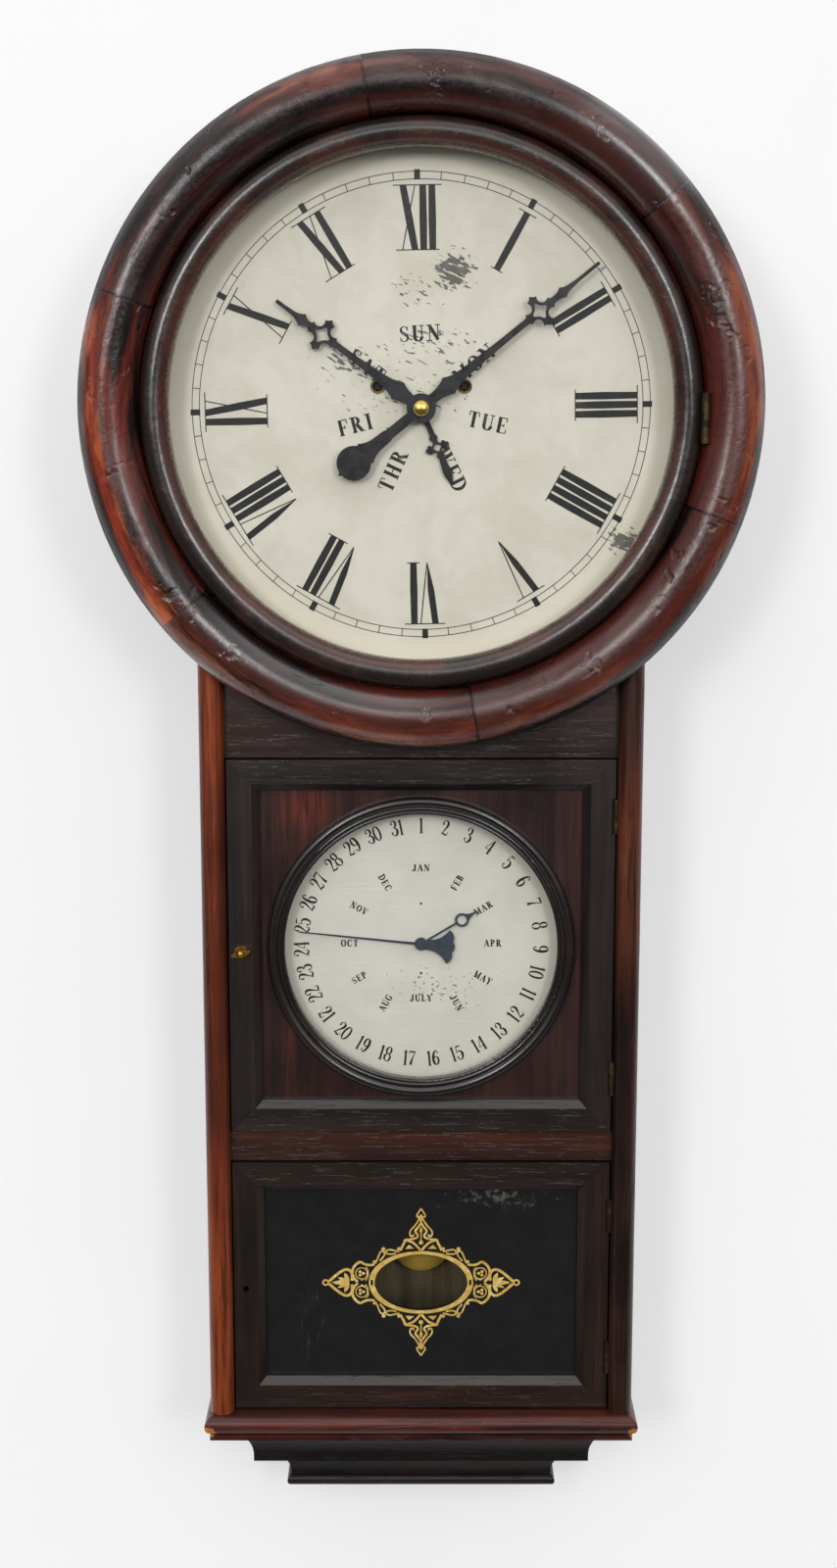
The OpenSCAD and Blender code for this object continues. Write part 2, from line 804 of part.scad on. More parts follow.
module base_lower_cove() {
    color("#241310") returned(lower_cove_foot) {
        moulding_step(bead_inset + bead_r, 0, 2 * bead_r);
        translate([-bead_inset - bead_r, bead_r]) circle(bead_r);
        difference() {
            moulding_step(lower_cove_inset, 2 * bead_r, lower_cove_r);
            translate([-lower_cove_inset, 2 * bead_r]) circle(lower_cove_r);
        }
    }
}

module case_hinge_leaves() {
    color("#6e5a33") {
        door_hinge_leaves(concat(upper_hinges, lower_hinges), 1);
        hinge_leaf(bezel_axis_x, bezel_axis, bezel_hinge_z, bezel_hinge_len, 1, bezel_gap / 2, bezel_leaf_t);
    }
}

module hinge_pins() {
    color("#5a4a2c") {
        for (z = concat(upper_hinges, lower_hinges))
            upright(door_axis_x, door_axis, z - door_hinge_len / 2, door_hinge_len, hinge_pin_r);
        upright(bezel_axis_x, bezel_axis, bezel_hinge_z - bezel_hinge_len / 2, bezel_hinge_len, hinge_pin_r);
    }
}

// Dial

grommet_r = 4.4;
grommet_hole_r = 3.1;
grommet_sleeve_r = 3.7;
grommet_t = 0.8;
dial_screw_head_r = 2.2;
dial_screw_head_t = 1.2;
dial_screw_d = 6;

module dial_screw_places() {
    for (a = [45 : 90 : 315]) translate([dial_screw_circle * cos(a), 0, dial_z + dial_screw_circle * sin(a)])
        children();
}

module dial_plate() {
    color("#d8d4c6") difference() {
        translate([0, 0, dial_z]) slab(dial_back, dial_t) difference() {
            circle(dial_r);
            circle(day_pipe_r + 4 * fit_gap);
            for (x = [-winding_x, winding_x]) translate([x, winding_z]) circle(grommet_sleeve_r + hand_fit);
        }
        dial_screw_places() bar(0, 0, 0, far, dial_screw_r + hand_fit);
    }
}

module dial_screws() {
    color("#b08d4a") dial_screw_places() {
        bar(0, 0, dial_face - dial_screw_d, dial_screw_d, dial_screw_r);
        bar(0, 0, dial_face, dial_screw_head_t, dial_screw_head_r);
    }
}

module winding_grommets() {
    color("#b9a36a") for (x = [-winding_x, winding_x]) turned(x, great_z) {
        translate([grommet_hole_r, dial_face]) square([grommet_r - grommet_hole_r, grommet_t]);
        translate([grommet_hole_r, dial_back]) square([grommet_sleeve_r - grommet_hole_r, dial_t]);
    }
}

// Bezel

// A half-round with a step behind it for the glass, in radius and depth
module bezel_section() {
    crest = bezel_front - bezel_round;
    polygon([
        [bezel_r, bezel_back], [bezel_r, crest], [dial_sight_r, crest], [dial_sight_r, bezel_glass_face],
        [dial_glass_r, bezel_glass_face], [dial_glass_r, bezel_back]
    ]);
    translate([bezel_r - bezel_round, crest]) intersection() {
        circle(bezel_round);
        translate([-bezel_round, 0]) square([bezel_w, bezel_round]);
    }
}

module dial_bezel() {
    color("#1c1210") difference() {
        turned(0, dial_z) bezel_section();
        hinge_room(bezel_axis_x, bezel_axis, bezel_hinge_z, bezel_hinge_len, -1, bezel_gap / 2, bezel_leaf_t);
    }
}

module dial_glass() {
    color("#dfe8e6", 0.3)
        bar(0, dial_z, bezel_glass_face - dial_glass_t, dial_glass_t, dial_glass_r - panel_play);
}

module bezel_hinge_leaf() {
    color("#6e5a33")
        hinge_leaf(bezel_axis_x, bezel_axis, bezel_hinge_z, bezel_hinge_len, -1, bezel_gap / 2, bezel_leaf_t);
}

// Doors

// A door rail in section: distance in from the door's edge, and depth
rail_section = [
    [0, door_back], [0, door_front], [rail_w - bevel_w, door_front], [rail_w, door_front - bevel_d],
    [rail_w, panel_front], [rail_w - rebate_w, panel_front], [rail_w - rebate_w, door_back]
];

// One rail with mitred ends, its outer edge on Z 0 and its inner edge above
module mitred_rail(len) {
    end = len / 2 - glue_gap / 2;
    intersection() {
        translate([-len / 2, 0, 0]) rotate([90, 0, 90]) linear_extrude(len)
            polygon([for (p = rail_section) [-p[1], p[0]]]);
        slab(0, far) polygon([[-end, 0], [end, 0], [end - rail_w, rail_w], [rail_w - end, rail_w]]);
    }
}

module door_frame(foot, h) {
    translate([0, 0, foot]) mitred_rail(2 * door_hw);
    translate([0, 0, foot + h]) rotate([0, 180, 0]) mitred_rail(2 * door_hw);
    translate([-door_hw, 0, foot + h / 2]) rotate([0, 90, 0]) mitred_rail(h);
    translate([door_hw, 0, foot + h / 2]) rotate([0, -90, 0]) mitred_rail(h);
}

// The outline that fits a door's rebate
module rebate_outline(foot, h) {
    inset = rail_w - rebate_w + panel_play;
    translate([-panel_hw, foot + inset]) square([2 * panel_hw, h - 2 * inset]);
}

module upper_door_frame() {
    color("#2b1711") difference() {
        door_frame(upper_door_foot, upper_door_h);
        door_hinge_room(upper_hinges, -1);
        bar(-stile_mid, latch_z, 0, far, latch_r + run_gap);
    }
}

module upper_door_panel() {
    color("#4b1d14") slab(panel_front - panel_t, panel_t) difference() {
        rebate_outline(upper_door_foot, upper_door_h);
        translate([0, calendar_z]) circle(calendar_neck_r + panel_play);
    }
}

reed_outer = 3.4;
reed_middle = 1.7;
reed_inner = 1.3;
reed_base = reed_outer;
calendar_glass_step = 3;

// Reeded ring that frames the calendar dial, in radius and depth
module calendar_bezel_section() {
    seat = calendar_sight_r + calendar_glass_step;
    polygon([
        [seat, calendar_neck_back], [calendar_neck_r, calendar_neck_back], [calendar_neck_r, panel_front],
        [calendar_bezel_r, panel_front], [calendar_bezel_r, panel_front + reed_base],
        [calendar_sight_r, panel_front + reed_base], [calendar_sight_r, calendar_lip], [seat, calendar_lip]
    ]);
    translate([calendar_bezel_r - reed_outer, panel_front + reed_base]) circle(reed_outer);
    translate([calendar_bezel_r - 2 * reed_outer - reed_middle / 2, panel_front + reed_base])
        circle(reed_middle);
    translate([calendar_sight_r + reed_inner, panel_front + reed_base]) circle(reed_inner);
}

module calendar_bezel() {
    color("#15100e") turned(0, calendar_z) calendar_bezel_section();
}

module calendar_glass() {
    color("#dfe8e6", 0.3) bar(0, calendar_z, calendar_lip - calendar_glass_t, calendar_glass_t,
        calendar_sight_r + calendar_glass_step - panel_play);
}

module upper_door_hinge_leaves() {
    color("#6e5a33") door_hinge_leaves(upper_hinges, -1);
}

latch_rose_r = 4.2;
latch_rose_t = 1.4;
latch_neck_d = 2;
wing_hl = 6.8;
wing_hw = 2.2;
wing_t = 2.4;
latch_dome_r = 2.8;

// The leaf outline of the latch's two wings
module wings() {
    r = (wing_hl * wing_hl + wing_hw * wing_hw) / (2 * wing_hw);
    intersection_for (s = [-1, 1]) translate([0, s * (r - wing_hw)]) circle(r);
}

// Thumb latch: rose, winged grip with a dome, spindle and tongue
module door_latch() {
    grip = door_front + fit_gap + latch_rose_t + latch_neck_d;
    color("#b8923f") translate([-stile_mid, 0, latch_z]) {
        rotate([0, -latch_tilt, 0]) slab(grip, wing_t) wings();
        bar(0, 0, tongue_back, grip + wing_t - tongue_back, latch_r);
        bar(0, 0, door_front + fit_gap, latch_rose_t, latch_rose_r);
        turned(0, 0) intersection() {
            translate([0, grip + wing_t - 0.4]) circle(latch_dome_r);
            translate([0, grip]) square(2 * latch_dome_r);
        }
        slab(tongue_back, tongue_t) {
            translate([-tongue_w / 2, -latch_reach]) square([tongue_w, latch_reach]);
            circle(tongue_w / 2 + 1);
        }
    }
}

module lower_door_frame() {
    color("#2b1711") difference() {
        door_frame(lower_door_foot, lower_door_h);
        door_hinge_room(lower_hinges, -1);
        bar(-stile_mid, knob_hole_z, 0, far, knob_hole_r);
    }
}

module tablet_glass() {
    color("#0b0b0c") slab(panel_front - tablet_t, tablet_t) rebate_outline(lower_door_foot, lower_door_h);
}

bead_w = 5;

module tablet_beads() {
    color("#3a2016") slab(panel_front - tablet_t - bead_d, bead_d) difference() {
        rebate_outline(lower_door_foot, lower_door_h);
        inset = rail_w - rebate_w + panel_play + bead_w;
        translate([-panel_hw + bead_w, lower_door_foot + inset])
            square([2 * (panel_hw - bead_w), lower_door_h - 2 * inset]);
    }
}

module lower_door_hinge_leaves() {
    color("#6e5a33") door_hinge_leaves(lower_hinges, -1);
}

// Hands

// Outline symmetric about the hand's own line, from pairs of half-width and distance
module mirrored(pairs) {
    left = [for (i = [len(pairs) - 1:-1:0]) [-pairs[i][0], pairs[i][1]]];
    polygon(concat(pairs, left));
}

// Pierced cross with round bites between four barbed arms, centred on the origin
cross_arm = 8.4;
cross_barb = 3.75;
cross_bite = 6;
cross_bite_r = 3.3;
cross_wall = 1.9;
cross_hole_r = 5.2;
cross_tip = 10.7;

// Where a blade or leaf joins the cross: half-widths outward from the barbs
join = [[3.6, 8.3], [2.2, 9.3], [1.9, 11]];

module diamond(r) {
    rotate(45) square(r * sqrt(2), center = true);
}

module cross_bites(r) {
    for (x = [-cross_bite, cross_bite], y = [-cross_bite, cross_bite]) translate([x, y]) circle(r);
}

module pierced_cross() {
    difference() {
        union() {
            difference() {
                union() {
                    square([2 * cross_barb, 2 * cross_arm], center = true);
                    square([2 * cross_arm, 2 * cross_barb], center = true);
                }
                cross_bites(cross_bite_r);
            }
            for (a = [90, 270]) rotate(a) mirrored([join[0], [1.7, 9], [0.1, cross_tip]]);
        }
        difference() {
            diamond(cross_hole_r);
            cross_bites(cross_bite_r + cross_wall);
        }
    }
}

// Blade from the boss: a slim neck, barbed shoulders, then a long taper to the cross
module barbed_blade(barb_y, barb_hw, neck_hw, cross_y) {
    mid_y = (barb_y + cross_y) / 2;
    mirrored([
        [neck_hw, 0], [neck_hw, barb_y - 9], [neck_hw + 0.5, barb_y - 6], [neck_hw + 1.4, barb_y - 2.7],
        [barb_hw, barb_y], [barb_hw - 1.3, barb_y + 2.6], [barb_hw - 2.2, barb_y + 5.2],
        [barb_hw - 3.1, barb_y + 11.5], [join[2][0] + 0.2, mid_y + 4], [join[2][0], cross_y - join[2][1]],
        [join[1][0], cross_y - join[1][1]], [join[0][0], cross_y - join[0][1]]
    ]);
}

// Leaf beyond the cross, with barbs and a round-ended finger to the tip
module spear(cross_y, leaf, leaf_hw, finger_hw, tip_y) {
    leaf_y = cross_y + leaf;
    mirrored([
        [join[0][0], cross_y + join[0][1]], [join[1][0], cross_y + join[1][1]],
        [join[2][0], cross_y + join[2][1]], [2.1, leaf_y - 3.4], [2.7, leaf_y - 1.7], [leaf_hw, leaf_y],
        [leaf_hw - 0.95, leaf_y + 1.1], [leaf_hw - 1.6, leaf_y + 2.6], [1.75, leaf_y + 4.6],
        [1.4, leaf_y + 8], [finger_hw, leaf_y + 12], [finger_hw, tip_y - finger_hw]
    ]);
    translate([0, tip_y - finger_hw]) circle(finger_hw);
}

minute_barb = 21.5;
hour_barb = 17.7;
minute_cross = 0.669 * minute_l;
hour_cross = 0.683 * hour_l;
day_cross = 0.514 * day_l;

// Counterpoise of the minute hand: a stepped stem with barbs under a disc
module counterpoise() {
    step_y = tail_l / 2;
    mirrored([
        [3.2, 0], [3.2, step_y - 1.2], [3.8, step_y], [4.2, tail_l - 17.5], [4.9, tail_l - 14.4],
        [5.9, tail_l - 11.9], [7.5, tail_l - 9.2], [6.6, tail_l - 8], [3, tail_l]
    ]);
    translate([0, tail_l]) circle(tail_r);
    mirrored([[2, tail_l + tail_r - 1], [0.1, tail_l + tail_r + 1.6]]);
}

module minute_outline() {
    circle(boss_r);
    barbed_blade(minute_barb, 6.1, 3.3, minute_cross);
    translate([0, minute_cross]) pierced_cross();
    spear(minute_cross, 17.6, 3.75, 1.1, minute_l);
    rotate(180) counterpoise();
}

module hour_outline() {
    circle(boss_r);
    barbed_blade(hour_barb, 6.3, 3.5, hour_cross);
    translate([0, hour_cross]) pierced_cross();
    spear(hour_cross, 15.2, 4.2, 1.2, hour_l);
}

// Small cross of the day hand: a pierced star with three-lobed knobs at the sides
star_r = 6;
star_hole_r = 2.7;
star_bite = 3.9;
star_bite_r = 2.3;

module day_star() {
    difference() {
        union() {
            difference() {
                diamond(star_r);
                for (x = [-star_bite, star_bite], y = [-star_bite, star_bite])
                    translate([x, y]) circle(star_bite_r);
            }
            for (x = [-1, 1]) {
                translate([x * 6.1, 0]) circle(1.5);
                translate([x * 4.7, 1.4]) circle(1.3);
                translate([x * 4.5, -1.6]) circle(1.3);
            }
        }
        diamond(star_hole_r);
    }
}

module day_outline() {
    leaf = day_l - day_cross;
    circle(boss_r - 1);
    mirrored([[1.7, 0], [1.6, day_cross - 8.4], [1.1, day_cross - 3.6]]);
    translate([0, day_cross - 6.2]) circle(2.5);
    translate([0, day_cross]) day_star();
    mirrored([
        [1.1, day_cross + 3.4], [2.6, day_cross + 0.2 * leaf], [1.6, day_cross + 0.31 * leaf],
        [2.2, day_cross + 0.45 * leaf], [2.7, day_cross + 0.64 * leaf], [2.3, day_cross + 0.78 * leaf],
        [1.3, day_cross + 0.92 * leaf], [0.15, day_l]
    ]);
}

module month_outline() {
    circle(calendar_hub_r);
    translate([-0.6, 0]) square([1.2, month_ring - month_ring_hole]);
    translate([0, month_ring]) difference() {
        circle(month_ring_r);
        circle(month_ring_hole);
    }
    mirrored([[3, month_ring + 3.2], [1.7, month_ring + 5], [0.9, month_ring + 7.2], [0.2, month_l]]);
}

module minute_hand() {
    color("#17171b") hand(dial_z, minute_back, hand_t, minute_angle, boss_r - collet_wall, cannon_r)
        minute_outline();
}

module hour_hand() {
    color("#1b1b20") hand(dial_z, hour_back, hand_t, hour_angle, boss_r - collet_wall, hour_pipe_r)
        hour_outline();
}

module day_hand() {
    color("#131316") hand(dial_z, day_back, hand_t, day_angle, boss_r - collet_wall, day_pipe_r)
        day_outline();
}

module month_hand() {
    collet_r = calendar_hub_r - 1;
    color("#1d2733")
        hand(calendar_z, month_back, calendar_hand_t, month_angle, collet_r, month_pipe_r) month_outline();
}

module hand_nut() {
    color("#c9a24a") difference() {
        turned(0, dial_z) {
            translate([0, nut_back]) square([hand_nut_r, nut_d - 2]);
            intersection() {
                translate([0, nut_back]) square([hand_nut_r, nut_d]);
                translate([0, nut_back - hand_nut_r]) circle(nut_d + hand_nut_r);
                translate([0, nut_back]) square([hand_nut_r - 0.6, nut_d]);
            }
        }
        bar(0, dial_z, nut_back - 1, centre_end + fit_gap - nut_back + 1, centre_r + hand_fit);
    }
}

// Fan tail of the date hand: three lobes at the end, sides hollowed by two circles
fan_l = 21.8;
fan_lobe_r = 5.2;
fan_side_r = 5.8;
fan_hollow_r = 15.6;
month_ring = 30.6;
month_ring_r = 4.5;
month_ring_hole = 3.1;
calendar_hub_r = 4.1;
date_collet_r = calendar_hub_r - 1.4;

module date_fan() {
    difference() {
        union() {
            translate([-11, 0]) square([22, fan_l - 4.6]);
            translate([0, fan_l - fan_lobe_r]) circle(fan_lobe_r);
            for (x = [-5.9, 5.9]) translate([x, fan_l - 6.9]) circle(fan_side_r);
        }
        for (x = [-18.8, 18.8]) translate([x, fan_l - 18]) circle(fan_hollow_r);
    }
}

module date_outline() {
    circle(calendar_hub_r);
    mirrored([[0.85, 0], [0.35, date_l]]);
    rotate(180) date_fan();
}

module date_hand() {
    color("#1d2733") {
        hand(calendar_z, date_back, calendar_hand_t, date_angle, date_collet_r, date_r) date_outline();
        bar(0, calendar_z, date_back + calendar_hand_t, date_cap, date_collet_r);
    }
}

// Movement

module plate_outline() {
    round_rect(-plate_hw, plate_foot, plate_hw, plate_top, plate_round);
}

module plate_holes(centre_hole, winding_hole) {
    circle(centre_hole + run_gap);
    for (x = [-winding_x, winding_x]) translate([x, winding_z]) circle(winding_hole + run_gap);
    translate([0, third_z - dial_z]) circle(pivot_r + run_gap);
    translate([0, escape_z - dial_z]) circle(pivot_r + run_gap);
    for (x = [-post_x, post_x], z = [post_low, post_high]) translate([x, z]) circle(spigot_r + hand_fit);
    for (s = [-1, 1]) translate([s * window_x, window_z]) square([window_w, window_h], center = true);
}

module movement_front_plate() {
    color("#b8953e") translate([0, 0, dial_z]) slab(plates_front, plate_t) difference() {
        plate_outline();
        plate_holes(centre_r, winding_r);
        translate([0, suspension_rise]) circle(pivot_r + run_gap);
        translate([0, -motion_reach]) circle(pivot_r + run_gap);
    }
}

module movement_back_plate() {
    color("#b08d3a") translate([0, 0, dial_z]) slab(back_plate, plate_t) difference() {
        plate_outline();
        plate_holes(pivot_r, pivot_r);
        translate([0, suspension_rise]) circle(train_r + run_gap);
    }
}

module movement_posts() {
    color("#8f7434") for (x = [-post_x, post_x], z = [post_low, post_high]) {
        bar(x, dial_z + z, backboard_t, pendulum_room, foot_r);
        bar(x, dial_z + z, backboard_t, front_plate_face + 1 - backboard_t, spigot_r);
        bar(x, dial_z + z, plates_back, plate_gap, post_r);
    }
}

// One coiled strip, from near its arbor outwards
spring_steps = 20;
spring_start = winding_r + 0.4;

function spring_point(k, out) =
    let (turn = k / spring_steps, r = spring_start + out + spring_step * turn)
    r * [cos(360 * turn), sin(360 * turn)];

module mainspring(x) {
    last = spring_turns * spring_steps;
    translate([x, 0, great_z]) slab(spring_back, spring_front - spring_back) polygon(concat(
        [for (k = [0 : last]) spring_point(k, 0)], [for (k = [last : -1 : 0]) spring_point(k, spring_t)]
    ));
}

module mainsprings() {
    color("#3d4450") for (x = [-winding_x, winding_x]) mainspring(x);
}

module suspension_cock() {
    color("#a5843a") {
        for (x = [-cock_hw, cock_hw - cock_wall])
            block(x, x + cock_wall, cock_back, back_plate, verge_z - cock_below, verge_z + cock_above);
        bridge_front = cock_back + cock_bridge;
        block(-cock_hw, cock_hw, cock_back, bridge_front, verge_z - cock_below, verge_z + cock_above);
        bar(0, verge_z, cock_back, pendulum_back + hook_t / 2 + 0.6 - cock_back, suspension_pin_r);
    }
}

// Arbor between the plates with a pivot at each end
module train_arbor(z) {
    bar(0, z, plates_back + run_gap, plate_gap - 2 * run_gap, train_r);
    bar(0, z, back_plate, plate_t * 2 + plate_gap, pivot_r);
}

great_ratchet_r = 9;
great_ratchet_t = 1;
great_hub_r = 15.5;
click_x = 12.5;

module great_wheel(x, back) {
    side = x > 0 ? 1 : -1;
    dir = 180 + atan2(winding_z, x);
    square_back = front_plate_face + 2;
    translate([x, 0, 0]) {
        wheel(great_z, back, great_teeth, great_module,
            wheel_turn(dir, great_teeth, centre_trundles, 90), wheel_tooth, great_hub_r, 5);
        translate([0, 0, great_z]) {
            slab(back + wheel_t, great_ratchet_t) polygon(saw_points(24, great_ratchet_r, 1.2));
            slab(back + wheel_t, great_ratchet_t) rotate(90 * side) translate([click_x, 0]) {
                circle(2);
                translate([-2.2, -0.8]) square([2.4, 7]);
            }
            bar(0, 0, plates_back + run_gap, square_back - plates_back - run_gap, winding_r);
            bar(0, 0, back_plate, plate_t + 1, pivot_r);
            block(-winding_square / 2, winding_square / 2, square_back, dial_back - 1,
                -winding_square / 2, winding_square / 2);
        }
    }
}

module great_wheel_left() {
    color("#c2a04a") great_wheel(-winding_x, great_left_back);
}

module great_wheel_right() {
    color("#c2a04a") great_wheel(winding_x, great_right_back);
}

module centre_arbor() {
    color("#b9973f") {
        bar(0, dial_z, plates_back + run_gap, centre_end - plates_back - run_gap, centre_r);
        bar(0, dial_z, back_plate, plate_t + 1, pivot_r);
        lantern(dial_z, centre_pinion_back, centre_pinion_d, centre_trundles, great_module, 90);
        wheel(dial_z, centre_wheel_back, train_teeth, centre_module, 90, wheel_tooth, 5, 5);
        translate([0, 0, dial_z]) slab(cannon_back, cannon_d)
            polygon(gear_points(cannon_teeth, cannon_module, leaf_tooth));
        bar(0, dial_z, cannon_back, nut_back - cannon_back, cannon_r);
    }
}

third_turn = pinion_turn(90, train_teeth, train_trundles, 90);

module third_wheel() {
    color("#c2a04a") {
        train_arbor(third_z);
        lantern(third_z, third_pinion_back, third_pinion_d, train_trundles, centre_module, third_turn);
        wheel(third_z, third_wheel_back, train_teeth, third_module, 90, wheel_tooth, 4, 4);
    }
}

escape_turn = pinion_turn(90, train_teeth, train_trundles, 90);

module escape_wheel() {
    color("#c2a04a") {
        train_arbor(escape_z);
        lantern(escape_z, escape_pinion_back, escape_pinion_d, train_trundles, third_module, escape_turn);
        translate([0, 0, escape_z]) slab(escape_wheel_back, 1.2) difference() {
            polygon(saw_points(escape_teeth, escape_r, 1.6));
            crossings(4, escape_r - 3.4, 4, 2);
        }
    }
}

module minute_wheel() {
    turn = wheel_turn(90, minute_teeth, cannon_teeth, 0);
    color("#c2a04a") translate([0, 0, minute_wheel_z]) {
        slab(minute_wheel_back, motion_t) rotate(turn)
            polygon(gear_points(minute_teeth, cannon_module, motion_tooth));
        slab(minute_leaf_back, minute_leaf_d) polygon(gear_points(minute_leaves, hour_module, leaf_tooth));
        bar(0, 0, plates_front, minute_leaf_back - plates_front, pivot_r);
        bar(0, 0, front_plate_face + run_gap, minute_wheel_back - front_plate_face, train_r);
    }
}

module hour_wheel() {
    color("#b9973f") difference() {
        union() {
            translate([0, 0, dial_z]) slab(hour_wheel_back, motion_t)
                rotate(wheel_turn(-90, hour_teeth, minute_leaves, 0))
                    polygon(gear_points(hour_teeth, hour_module, motion_tooth));
            bar(0, dial_z, hour_wheel_back, hour_back + hand_t - hour_wheel_back, hour_pipe_r);
        }
        bar(0, dial_z, 0, far, cannon_r + run_gap);
    }
}

module day_star_wheel() {
    color("#b9973f") difference() {
        union() {
            translate([0, 0, dial_z]) slab(day_star_back, motion_t) polygon([
                for (k = [0 : 2 * week_days - 1]) let (a = 180 * k / week_days)
                    (k % 2 == 0 ? day_star_r : day_notch_r) * [cos(a), sin(a)]
            ]);
            bar(0, dial_z, day_star_back, day_back + hand_t - day_star_back, day_pipe_r);
        }
        bar(0, dial_z, 0, far, hour_pipe_r + run_gap);
    }
}

// Pendulum

module pendulum_rod() {
    hook_back = pendulum_back - hook_t / 2;
    color("#a88b4e") {
        translate([0, 0, verge_z]) slab(hook_back, hook_t) difference() {
            circle(hook_r);
            circle(suspension_pin_r + run_gap);
        }
        difference() {
            upright(0, pendulum_back, stirrup_top - 1, verge_z - stirrup_top + 1, rod_r);
            bar(0, verge_z, 0, far, hook_r - 1);
        }
        difference() {
            slab(pendulum_back - stirrup_t / 2, stirrup_t) difference() {
                translate([-stirrup_hw, stirrup_foot]) square([2 * stirrup_hw, stirrup_h]);
                translate([-stirrup_hw + stirrup_bar / 2, stirrup_foot + stirrup_bar])
                    square([2 * stirrup_hw - stirrup_bar, stirrup_h - 2 * stirrup_bar]);
            }
            upright(0, pendulum_back, stirrup_foot - 1, stirrup_bar + 2, stem_r + run_gap);
        }
    }
}

module pendulum_bob() {
    lens_r = (bob_r * bob_r + bob_t * bob_t / 4) / bob_t;
    sink = lens_r - bob_t / 2;
    color("#c7a24c") {
        translate([0, -pendulum_back, bob_z]) rotate([90, 0, 0]) rotate_extrude() intersection() {
            translate([0, -sink]) circle(lens_r);
            translate([0, sink]) circle(lens_r);
            translate([0, -bob_t]) square([bob_r - 0.4, 2 * bob_t]);
        }
        stem_foot = bob_z + bob_r / 2;
        upright(0, pendulum_back, stem_foot, stirrup_top - stirrup_bar - stem_short - stem_foot, stem_r);
    }
}

module rating_nut() {
    color("#b9973f") translate([0, -pendulum_back, stirrup_foot + stirrup_bar + nut_lift]) difference() {
        cylinder(r = rating_nut_r, h = rating_nut_h);
        translate([0, 0, -1]) cylinder(r = stem_r + run_gap, h = rating_nut_h + 2);
        for (a = [0 : 30 : 330]) rotate(a) translate([rating_nut_r + notch_out, 0, -1])
            cylinder(r = notch_r, h = rating_nut_h + 2);
    }
}

// Anchor pallets between the plates, their arbor, and the crutch behind the back plate
module verge_crutch() {
    color("#5d6068") {
        bar(0, verge_z, crutch_back, plates_front - run_gap - crutch_back, train_r);
        bar(0, verge_z, plates_front - 1, 1 + plate_t, pivot_r);
        slab(escape_wheel_back, 1.2) {
            translate([0, verge_z]) circle(4);
            translate([0, escape_z]) intersection() {
                difference() {
                    circle(escape_r + anchor_clear + anchor_w);
                    circle(escape_r + anchor_clear);
                }
                polygon([[0, 0], 3 * escape_r * [-sin(anchor_span), cos(anchor_span)], [0, 3 * escape_r],
                    3 * escape_r * [sin(anchor_span), cos(anchor_span)]]);
            }
        }
        slab(crutch_back, crutch_t) {
            translate([-crutch_w / 2, verge_z - crutch_l]) square([crutch_w, crutch_l]);
            translate([0, verge_z]) circle(crutch_w / 2 + 1);
        }
        for (s = [-1, 1]) {
            middle = s * (rod_r + prong_play + prong_t / 2);
            foot = verge_z - crutch_l;
            block(middle - prong_t / 2, middle + prong_t / 2, pendulum_back - rod_r, crutch_back + crutch_t,
                foot, foot + crutch_w);
        }
    }
}

// Calendar

module calendar_board() {
    color("#5a3a24") difference() {
        slab(calendar_board_back, calendar_board_t) difference() {
            translate([0, calendar_z]) square([2 * inner_hw, calendar_board_h], center = true);
            translate([0, calendar_z]) circle(month_pipe_r + run_gap);
        }
        block(-inner_hw - 1, -stile_mid + latch_reach, 0, far,
            latch_z - latch_reach - 3 * tongue_play, latch_z + latch_reach);
    }
}

module calendar_dial() {
    color("#cbc9c0") translate([0, 0, calendar_z]) slab(calendar_board_face, calendar_dial_t) difference() {
        circle(calendar_r);
        circle(month_pipe_r + run_gap);
    }
}

module date_wheel() {
    color("#b9973f") {
        translate([0, 0, calendar_z]) slab(date_wheel_back, calendar_wheel_t) difference() {
            polygon(saw_points(date_teeth, date_wheel_r, 2.6));
            crossings(5, date_wheel_r - 6, 5, 3);
        }
        bar(0, calendar_z, date_wheel_back - 2, date_back + calendar_hand_t - date_wheel_back + 2, date_r);
    }
}

module month_wheel() {
    color("#b9973f") difference() {
        union() {
            translate([0, 0, calendar_z]) slab(month_wheel_back, calendar_wheel_t)
                polygon(saw_points(12, month_wheel_r, 3));
            pipe_front = month_back + calendar_hand_t;
            bar(0, calendar_z, month_wheel_back, pipe_front - month_wheel_back, month_pipe_r);
        }
        bar(0, calendar_z, 0, far, date_r + run_gap);
    }
}

backboard();
side_panel_left();
side_panel_right();
pilaster_left();
pilaster_right();
head_drum();
head_ring();
dial_board();
top_rail();
mid_rail();
bottom_board();
base_half_round();
base_upper_cove();
base_lower_cove();
hanger_plate();
dial_plate();
dial_screws();
winding_grommets();
calendar_board();
calendar_dial();
case_hinge_leaves();
hinge_pins();
movement_front_plate();
movement_back_plate();
movement_posts();
mainsprings();
suspension_cock();
dial_bezel();
dial_glass();
bezel_hinge_leaf();
upper_door_frame();
upper_door_panel();
calendar_bezel();
calendar_glass();
upper_door_hinge_leaves();
door_latch();
lower_door_frame();
tablet_glass();
tablet_beads();
lower_door_hinge_leaves();
minute_hand();
hand_nut();
centre_arbor();
hour_hand();
hour_wheel();
minute_wheel();
day_hand();
day_star_wheel();
great_wheel_left();
great_wheel_right();
third_wheel();
escape_wheel();
pendulum_rod();
pendulum_bob();
rating_nut();
verge_crutch();
date_hand();
date_wheel();
month_hand();
month_wheel();
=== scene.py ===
"""Dresses a round-headed calendar wall clock: finishes, printed dials, gilt tablet and studio.

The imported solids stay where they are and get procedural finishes. Printing and gilding are new
surfaces, worked out as whole arrays. Lengths are metres: +X is to the right as seen from the front,
-Y faces the viewer and +Z is up.
"""

import logging
import math
from dataclasses import dataclass, field
from enum import Enum
from functools import reduce
from typing import Any, Callable, ClassVar, Iterable, Mapping, Sequence, Union

